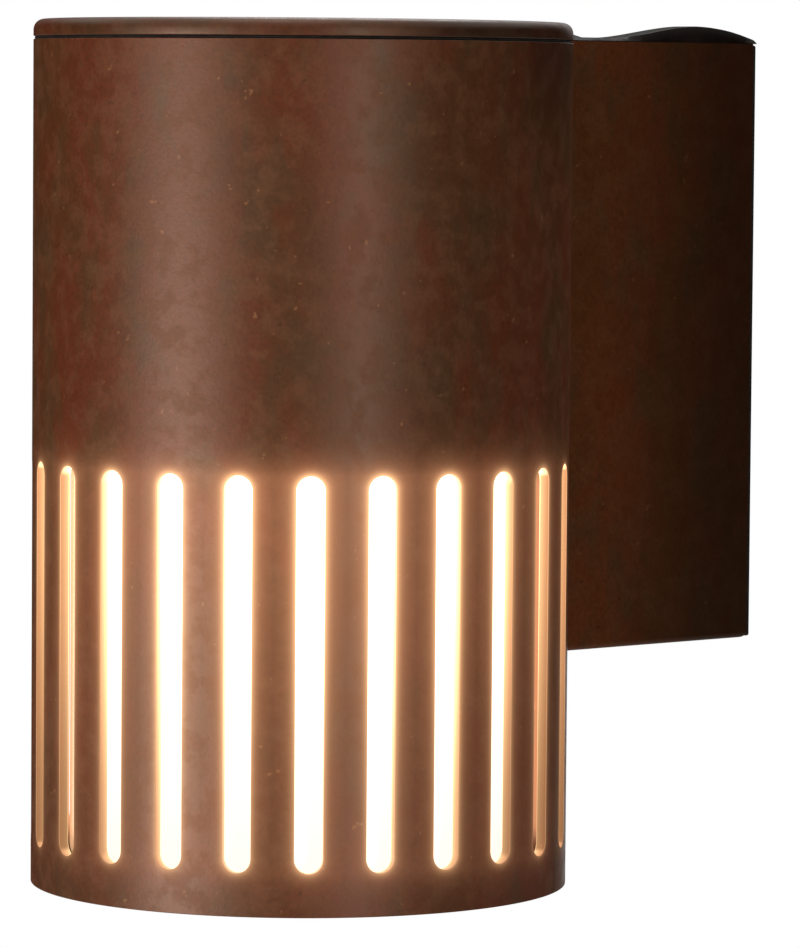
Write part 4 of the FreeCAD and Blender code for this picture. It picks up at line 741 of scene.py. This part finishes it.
bracketCap = {
    "half": 29.75, "front": 55.4, "rear": -0.2, "rim": 0.8, "rise": 2.7, "crown": -16.5,
    "run": 25.5, "wallDrop": 2.6, "cheekFrom": 18.7, "cheekTo": 23.2, "sideRound": 1.6,
    "leastHeight": 0.15, "rows": 44, "columns": 48, "outerSpread": 0.8, "edge": 0.35,
    "skirtHalf": 27.1, "skirtFront": 57.75, "skirtRear": -1.2, "skirtWall": 1.6,
    "skirtDepth": 4.0, "skirtSunk": 0.1, "skirtSteps": 12,
}


def smoothStep(value, low, high):
    share = min(max((value - low) / (high - low), 0), 1)
    return share * share * (3 - 2 * share)


# Height of the cap over its seat at a place across and along, in millimetres.
def capHeight(across, along):
    facts = bracketCap
    climb = smoothStep(along, facts["crown"] - facts["run"], facts["crown"])
    fall = max((along - facts["crown"]) / (facts["rear"] - facts["crown"]), 0)
    lengthwise = facts["rise"] * climb - facts["wallDrop"] * fall ** 2
    cheek = smoothStep(abs(across), facts["cheekFrom"], facts["cheekTo"])
    edge = max(abs(across) - (facts["half"] - facts["sideRound"]), 0) / facts["sideRound"]
    shoulder = 1 - math.sqrt(max(1 - edge * edge, 0))
    high = facts["rim"] + max(lengthwise, 0) * cheek
    return max(high - min(high, facts["sideRound"]) * shoulder, facts["leastHeight"])


# Where the plan's hollow front stands along, at a place across.
def hollowFront(across, radius):
    return axisY / mm + math.sqrt(radius * radius - across * across)


def makeCap():
    facts = bracketCap
    cap = bmesh.new()
    bmesh.ops.create_grid(cap, x_segments=facts["columns"], y_segments=facts["rows"], size=1)
    seat = capLow.z / mm + facts["skirtDepth"]
    for vertex in cap.verts:
        spread = vertex.co.x
        across = facts["half"] * math.copysign(abs(spread) ** facts["outerSpread"], spread)
        front = hollowFront(across, facts["front"])
        along = front + (facts["rear"] - front) * (vertex.co.y + 1) / 2
        vertex.co = Vector((across, along, seat + capHeight(across, along))) * mm
    bmesh.ops.recalc_face_normals(cap, faces=cap.faces)
    if next(iter(cap.faces)).normal.z < 0:
        bmesh.ops.reverse_faces(cap, faces=cap.faces)
    border = [edge for edge in cap.edges if edge.is_boundary]
    made = bmesh.ops.extrude_edge_only(cap, edges=border)["geom"]
    for item in made:
        if isinstance(item, bmesh.types.BMVert):
            item.co.z = seat * mm
    bmesh.ops.contextual_create(cap, geom=[edge for edge in cap.edges if edge.is_boundary])
    bmesh.ops.recalc_face_normals(cap, faces=cap.faces)
    makeCapSkirt(cap, seat)
    return finishPiece(cap, "bracketCap", fixture, "mouldedNylon",
                       ["bracket_top_cap"], edge=facts["edge"], segments=3)


# The cap's skirt, which plugs into the housing: a closed wall that follows the same plan.
def makeCapSkirt(cap, seat):
    facts = bracketCap
    skirt = bmesh.new()
    half, radius, steps = facts["skirtHalf"], facts["skirtFront"], facts["skirtSteps"]
    places = [half * (i / steps - 1) for i in range(2 * steps + 1)]
    line = [(-half, facts["skirtRear"])]
    line += [(across, hollowFront(across, radius)) for across in places]
    line += [(half, facts["skirtRear"])]
    top = seat + facts["skirtSunk"]
    points = [skirt.verts.new((x * mm, y * mm, top * mm)) for x, y in line]
    edges = [skirt.edges.new(pair) for pair in zip(points, points[1:] + points[:1])]
    made = bmesh.ops.extrude_edge_only(skirt, edges=edges)["geom"]
    lower = [item for item in made if isinstance(item, bmesh.types.BMVert)]
    bmesh.ops.translate(skirt, verts=lower,
                        vec=(0, 0, -(facts["skirtDepth"] + facts["skirtSunk"]) * mm))
    bmesh.ops.recalc_face_normals(skirt, faces=skirt.faces)
    bmesh.ops.solidify(skirt, geom=skirt.faces[:], thickness=facts["skirtWall"] * mm)
    addInto(cap, skirt)


makeCap()
print("bracket cap made")


# Opal cup: an acrylic beaker with a rolled flange, drawn wall and all as one turned outline.

opalCup = {
    "radius": 47.0, "bore": 44.8, "bottomRound": 4.0, "innerRound": 2.0, "floor": 2.5,
    "flange": 50.6, "flangeDepth": 2.5, "flangeRound": 0.6, "flangeFillet": 1.0, "steps": 180,
}


def makeCup():
    facts = opalCup
    bottom, top = cupLow.z / mm, cupHigh.z / mm
    radius, bore, flange = facts["radius"], facts["bore"], facts["flange"]
    big, small, soft = facts["bottomRound"], facts["innerRound"], facts["flangeRound"]
    low, fillet = top - facts["flangeDepth"], facts["flangeFillet"]
    floor = bottom + facts["floor"]
    outline = [(0, floor), (bore * 0.5, floor)]
    outline += arcPoints((bore - small, floor + small), small, -90, 0, 6)
    outline += [(bore, (floor + top) / 2), (bore, top - soft), (bore + soft, top)]
    outline += [(flange - soft, top)]
    outline += arcPoints((flange - soft, top - soft), soft, 90, 0, 3)[1:]
    outline += arcPoints((flange - soft, low + soft), soft, 0, -90, 3)
    outline += [(radius + fillet, low), (radius, low - fillet), (radius, (bottom + top) / 2)]
    outline += arcPoints((radius - big, bottom + big), big, 0, -90, 10)
    outline += [(radius * 0.5, bottom), (0, bottom)]
    cup = turnedShape(outline, facts["steps"])
    return finishPiece(cup, "opalCup", diffuserBody, "opal", ["diffuser_cup"])


makeCup()
print("opal cup made")


# Bulb: frosted globe, white body that flares out to it, and a rolled screw cap with a real thread.

lampBulb = {
    "globeRadius": 30.0, "skin": 1.3, "rim": 26.53, "collar": 13.6, "collarDepth": 2.8,
    "bodyWall": 1.6, "flareBow": 1.6, "bowDirection": (-0.93, -0.37), "flareSteps": 14,
    "thread": (13.1, 12.55), "threadPitch": 3.63, "turns": 5, "threadFrom": 0.6, "threadTo": 2.4,
    "threadSteps": 96, "threadWeld": 0.004, "wavePoints": 12, "shellWall": 0.9,
    "neck": (10.4, 9.5), "innerNeckDepth": 2.3, "steps": 120,
}


def makeGlobe():
    facts = lampBulb
    radius, skin = facts["globeRadius"], facts["skin"]
    tip, top = globeLow.z / mm, globeHigh.z / mm
    centre = tip + radius
    up = math.degrees(math.asin((top - centre) / radius))
    innerUp = math.degrees(math.asin((top - centre) / (radius - skin)))
    outline = arcPoints((0, centre), radius, -90, up, 40)
    outline += arcPoints((0, centre), radius - skin, innerUp, -90, 40)
    outline[0] = (0, tip)
    outline[-1] = (0, tip + skin)
    globe = turnedShape(outline, facts["steps"])
    return finishPiece(globe, "bulbGlobe", bulbBody, "globe", ["bulb_globe"])


def makeBulbBody():
    facts = lampBulb
    low, high = bodyLow.z / mm, bodyHigh.z / mm
    collar, wall, rim = facts["collar"], facts["bodyWall"], facts["rim"]
    shoulder = high - facts["collarDepth"]
    bowOut, bowUp = facts["bowDirection"]

    def flare(inset):
        points = []
        for i in range(facts["flareSteps"] + 1):
            share = i / facts["flareSteps"]
            bow = facts["flareBow"] * 4 * share * (1 - share)
            points.append((collar - inset + (rim - collar) * share + bow * bowOut,
                           shoulder + (low - shoulder) * share + bow * bowUp))
        return points

    outline = [(collar - wall, high), (collar, high)] + flare(0) + list(reversed(flare(wall)))
    outline += [(collar - wall, high)]
    body = turnedShape(outline, facts["steps"])
    return finishPiece(body, "bulbBody", bulbBody, "whiteMoulding", ["bulb_housing"],
                       edge=0.2)


# The thread: an upright wave is turned once while it climbs one pitch, so that its ends meet one
# turn up. What stands over its two ends is pressed flat, and the plain neck and wall are added.
def makeBulbThread():
    facts = lampBulb
    low, high = shellLow.z / mm, shellHigh.z / mm
    crest, root = facts["thread"]
    pitch, steps, count = facts["threadPitch"], facts["threadSteps"], facts["wavePoints"]
    start, end = low + facts["threadFrom"], high - facts["threadTo"]
    wave = []
    for i in range(facts["turns"] * count + 1):
        height = start + pitch * i / count
        swell = 0.5 - 0.5 * math.cos(math.tau * i / count)
        wave.append((root + (crest - root) * swell, height))
    thread = bmesh.new()
    points = [thread.verts.new((radius * mm, 0, height * mm)) for radius, height in wave]
    edges = [thread.edges.new(pair) for pair in zip(points, points[1:])]
    bmesh.ops.spin(thread, geom=points + edges, axis=(0, 0, 1), cent=(0, 0, 0), steps=steps,
                   angle=math.tau, dvec=(0, 0, pitch * mm / steps), use_merge=False)
    bmesh.ops.remove_doubles(thread, verts=thread.verts, dist=facts["threadWeld"] * mm)
    for vertex in thread.verts:
        vertex.co.z = min(max(vertex.co.z, start * mm), end * mm)
    bmesh.ops.remove_doubles(thread, verts=thread.verts, dist=weld)
    bmesh.ops.recalc_face_normals(thread, faces=thread.faces)
    bmesh.ops.translate(thread, verts=thread.verts, vec=(0, axisY, 0))
    wall, (neck, mouth) = facts["shellWall"], facts["neck"]
    shell = [(root, end), (root, high - 2 * wall), (neck, high), (mouth, high),
             (mouth, high - wall), (root - wall, high - facts["innerNeckDepth"]),
             (root - wall, low), (root, low), (root, start)]
    turnedShape(shell, steps, None, thread)
    return finishPiece(thread, "bulbThread", bulbBody, "nickelPlate",
                       ["bulb_screw_shell"])


makeGlobe()
makeBulbBody()
makeBulbThread()
print("bulb made")


# Pieces whose CAD shape is right get soft edges on a merged copy: name, body, finish, slot, and the
# width of the edge in millimetres.

softened = {
    "bracket_housing": ("bracketHousing", fixture, "rustBracket", "rust_coated_bracket", 0.35),
    "wall_gasket": ("wallSeal", fixture, "mouldedRubber", "seal_rubber", 0.4),
    "wall_plate": ("wallPlate", fixture, "zincPlate", "zinc_plated_steel", 0.25),
    "cable_grommet": ("cableGrommet", fixture, "mouldedRubber", "seal_rubber", 0.4),
    "wire_grommet": ("wireGrommet", fixture, "mouldedRubber", "seal_rubber", 0.3),
    "terminal_block": ("terminalBlock", fixture, "naturalPolyamide", "terminal_plastic", 0.4),
    "terminal_block_screw": ("blockScrew", fixture, "zincPlate", "zinc_plated_steel", 0.15),
    "wall_earth_tag": ("wallEarthTag", fixture, "plainBrass", "contact_brass", 0.15),
    "wall_earth_screw": ("wallEarthScrew", fixture, "plainBrass", "contact_brass", 0.25),
    "carrier_earth_tag": ("carrierEarthTag", fixture, "plainBrass", "contact_brass", 0.15),
    "carrier_earth_screw": ("carrierEarthScrew", fixture, "plainBrass", "contact_brass", 0.25),
    "bracket_fixing_screws": ("bracketFixingScrews", fixture, "stainless", "stainless_fixings",
                              0.15),
    "tube_screws": ("tubeScrews", fixture, "stainless", "stainless_fixings", 0.25),
    "carrier_plate": ("carrierPlate", fixture, "zincPlate", "zinc_plated_steel", 0.2),
    "diffuser_clips": ("diffuserClips", fixture, "springStrip", "spring_steel", 0.1),
    "clip_rivets": ("clipRivets", fixture, "stainless", "stainless_fixings", 0.25),
    "lid_tie_screws": ("lidTieScrews", fixture, "stainless", "stainless_fixings", 0.25),
    "lampholder_bridge": ("holderBridge", fixture, "zincPlate", "zinc_plated_steel", 0.25),
    "bridge_screws": ("bridgeScrews", fixture, "stainless", "stainless_fixings", 0.2),
    "bridge_nuts": ("bridgeNuts", fixture, "stainless", "stainless_fixings", 0.2),
    "nipple_nut": ("nippleNut", fixture, "zincPlate", "zinc_plated_steel", 0.3),
    "lampholder_skirt": ("holderSkirt", fixture, "blackPhenolic", "holder_plastic", 0.4),
    "lampholder_cap": ("holderCap", fixture, "blackPhenolic", "holder_plastic", 0.5),
    "lampholder_core": ("holderCore", fixture, "porcelain", "holder_ceramic", 0.4),
    "diffuser_gasket": ("diffuserSeal", fixture, "mouldedRubber", "seal_rubber", 0.35),
    "bulb_insulator": ("capGlass", bulbBody, "blackGlass", "bulb_insulation", 0.2),
    "bulb_contact": ("capContact", bulbBody, "plainBrass", "contact_brass", 0.2),
}

for node, (name, body, finish, slot, edge) in softened.items():
    finishPiece(mergedCopy(node), name, body, finish, [node], edge=edge, angle=30)
print("softened pieces made:", len(softened))


# CAD nodes that stay as they are and only get their finish.

keptNodes = {
    "terminal_barrels": "plainBrass", "terminal_clamp_screws": "zincPlate",
    "threaded_nipple": "zincPlate", "lampholder_shell": "plainBrass",
    "centre_contact": "plainBrass", "lampholder_terminals": "plainBrass",
    "led_board": "solderMask", "led_chips": "phosphorGel", "wire_live": "brownInsulation",
    "wire_neutral": "blueInsulation", "wire_earth": "earthInsulation",
}

for node, finish in keptNodes.items():
    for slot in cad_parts[node].material_slots:
        slot.material = materials[finish]
print("kept nodes finished:", len(keptNodes))


# A place round the lamp: degrees to the right of its front, and metres from the tube's axis.
def placeRound(azimuth, distance, height):
    turn = math.radians(azimuth)
    return Vector((distance * math.sin(turn), axisY - distance * math.cos(turn), height))


# Camera at the photograph's place: a long lens to the right of the lamp, just under the lid's
# height, looking a little down.

viewpoint = {
    "azimuth": 50.373, "distance": 1.14608, "height": 0.05078, "lens": 212.7, "sensor": 36,
    "shift": -0.01837, "aside": 1.1954, "down": 3.8278, "roll": 0.46, "farthest": 30,
}


def placeCamera():
    facts = viewpoint
    camera = bpy.data.objects.new("camera", bpy.data.cameras.new("camera"))
    bpy.context.scene.collection.objects.link(camera)
    camera.data.lens = facts["lens"]
    camera.data.sensor_width = facts["sensor"]
    camera.data.shift_x = facts["shift"]
    camera.data.clip_end = facts["farthest"]
    place = placeRound(facts["azimuth"], facts["distance"], facts["height"])
    heading = Matrix.Rotation(math.radians(facts["azimuth"]) - math.radians(facts["aside"]), 4, "Z")
    tilt = Matrix.Rotation(math.radians(90 - facts["down"]), 4, "X")
    roll = Matrix.Rotation(math.radians(facts["roll"]), 4, "Z")
    camera.matrix_world = Matrix.Translation(place) @ heading @ tilt @ roll
    bpy.context.scene.camera = camera


placeCamera()


# Soft studio light: a broad key from the front, a narrow second light near the bracket's side, one
# overhead and one behind, a dim world, and a pale floor far below. Three lengths of black velvet
# hang out of the camera's sight, so that the round satin tube darkens towards its limbs. Spans are
# in degrees to the right of the front, lengths in metres, power in watts.

studio = {
    "ambient": 0.24, "floorDrop": 1.8, "floorRadius": 4.5, "floorGlow": 0.38, "floorCloudMm": 400,
    "floorTones": ("#f1f0ed", "#ebeae6"),
    "lamps": {
        "key": {"azimuth": -1, "height": -0.25, "distance": 1.3, "size": (0.6, 0.4), "power": 10.8,
                "tone": "#fff4ea"},
        "second": {"azimuth": 75, "height": -0.05, "distance": 1.5, "size": (0.3, 0.6),
                   "power": 4.35, "tone": "#fff4ea"},
        "overhead": {"azimuth": 20, "height": 1.5, "distance": 0.25, "size": (0.7, 0.7), "power": 5,
                     "tone": "#ffffff"},
        "rear": {"azimuth": 222, "height": 1.25, "distance": 0.95, "size": (0.7, 0.7), "power": 9,
                 "tone": "#ffffff"},
    },
    "velvet": {"radius": 1.8, "low": -0.6, "high": 1.0, "steps": 24, "pileMm": 3,
               "tones": ("#0b0a0a", "#100e0e"),
               "spans": {"left": (-140, -24), "middle": (20, 64), "right": (88, 205)}},
}


def placeLamps():
    for name, facts in studio["lamps"].items():
        lamp = bpy.data.lights.new(name, "AREA")
        lamp.shape = "RECTANGLE"
        lamp.size, lamp.size_y = facts["size"]
        lamp.energy = facts["power"]
        lamp.color = linear(facts["tone"])[:3]
        holder = bpy.data.objects.new(name, lamp)
        bpy.context.scene.collection.objects.link(holder)
        place = placeRound(facts["azimuth"], facts["distance"], facts["height"])
        holder.location = place
        holder.rotation_euler = (Vector((0, axisY, 0)) - place).to_track_quat("-Z", "Y").to_euler()


def lightWorld():
    world = bpy.data.worlds.new("studio")
    bpy.context.scene.world = world
    world.use_nodes = True
    tree = world.node_tree
    background = tree.nodes["Background"]
    background.inputs["Color"].default_value = linear("#ffffff")
    path = addNode(tree, "ShaderNodeLightPath")
    seen = maths(tree, "MAXIMUM", path.outputs["Is Camera Ray"], path.outputs["Is Glossy Ray"])
    seen = maths(tree, "MAXIMUM", seen, path.outputs["Is Transmission Ray"])
    strength = maths(tree, "MULTIPLY_ADD", seen, 1 - studio["ambient"], studio["ambient"])
    tree.links.new(strength, background.inputs["Strength"])


def layFloor():
    floorMesh = bmesh.new()
    bmesh.ops.create_circle(floorMesh, cap_ends=True, segments=96, radius=studio["floorRadius"],
                            matrix=Matrix.Translation((0, axisY, -studio["floorDrop"])))
    data = bpy.data.meshes.new("studioFloor")
    floorMesh.to_mesh(data)
    floorMesh.free()
    floor = bpy.data.objects.new("studioFloor", data)
    bpy.context.scene.collection.objects.link(floor)
    material, tree, shader = newMaterial("litOpalFloor", "#f0efec", Roughness=0.9,
                                         Specular_IOR_Level=0.0,
                                         Emission_Strength=studio["floorGlow"])
    point = objectPoint(tree)
    cloud = remap(tree, noise(tree, point, studio["floorCloudMm"], 2), 0.3, 0.7)
    tree.links.new(mixColour(tree, cloud, *studio["floorTones"]), shader.inputs["Base Color"])
    data.materials.append(material)


def hangVelvet():
    facts = studio["velvet"]
    material, tree, shader = newMaterial("blackVelvet", "#0c0b0b", Roughness=1.0,
                                         Specular_IOR_Level=0.0)
    pile = remap(tree, noise(tree, objectPoint(tree), facts["pileMm"], 3), 0.3, 0.7)
    tree.links.new(mixColour(tree, pile, *facts["tones"]), shader.inputs["Base Color"])
    for name, (start, end) in facts["spans"].items():
        cloth = bmesh.new()
        posts = [cloth.verts.new(placeRound(start, facts["radius"], facts[level]))
                 for level in ("low", "high")]
        edge = cloth.edges.new(posts)
        bmesh.ops.spin(cloth, geom=posts + [edge], axis=(0, 0, 1), cent=(0, axisY, 0),
                       steps=facts["steps"], angle=math.radians(end - start), use_merge=False)
        data = bpy.data.meshes.new(name + "Velvet")
        cloth.to_mesh(data)
        cloth.free()
        data.materials.append(material)
        screen = bpy.data.objects.new(name + "Velvet", data)
        screen.visible_camera = False
        bpy.context.scene.collection.objects.link(screen)


placeLamps()
lightWorld()
layFloor()
hangVelvet()
bpy.context.scene.view_settings.view_transform = "Standard"
print("studio set")
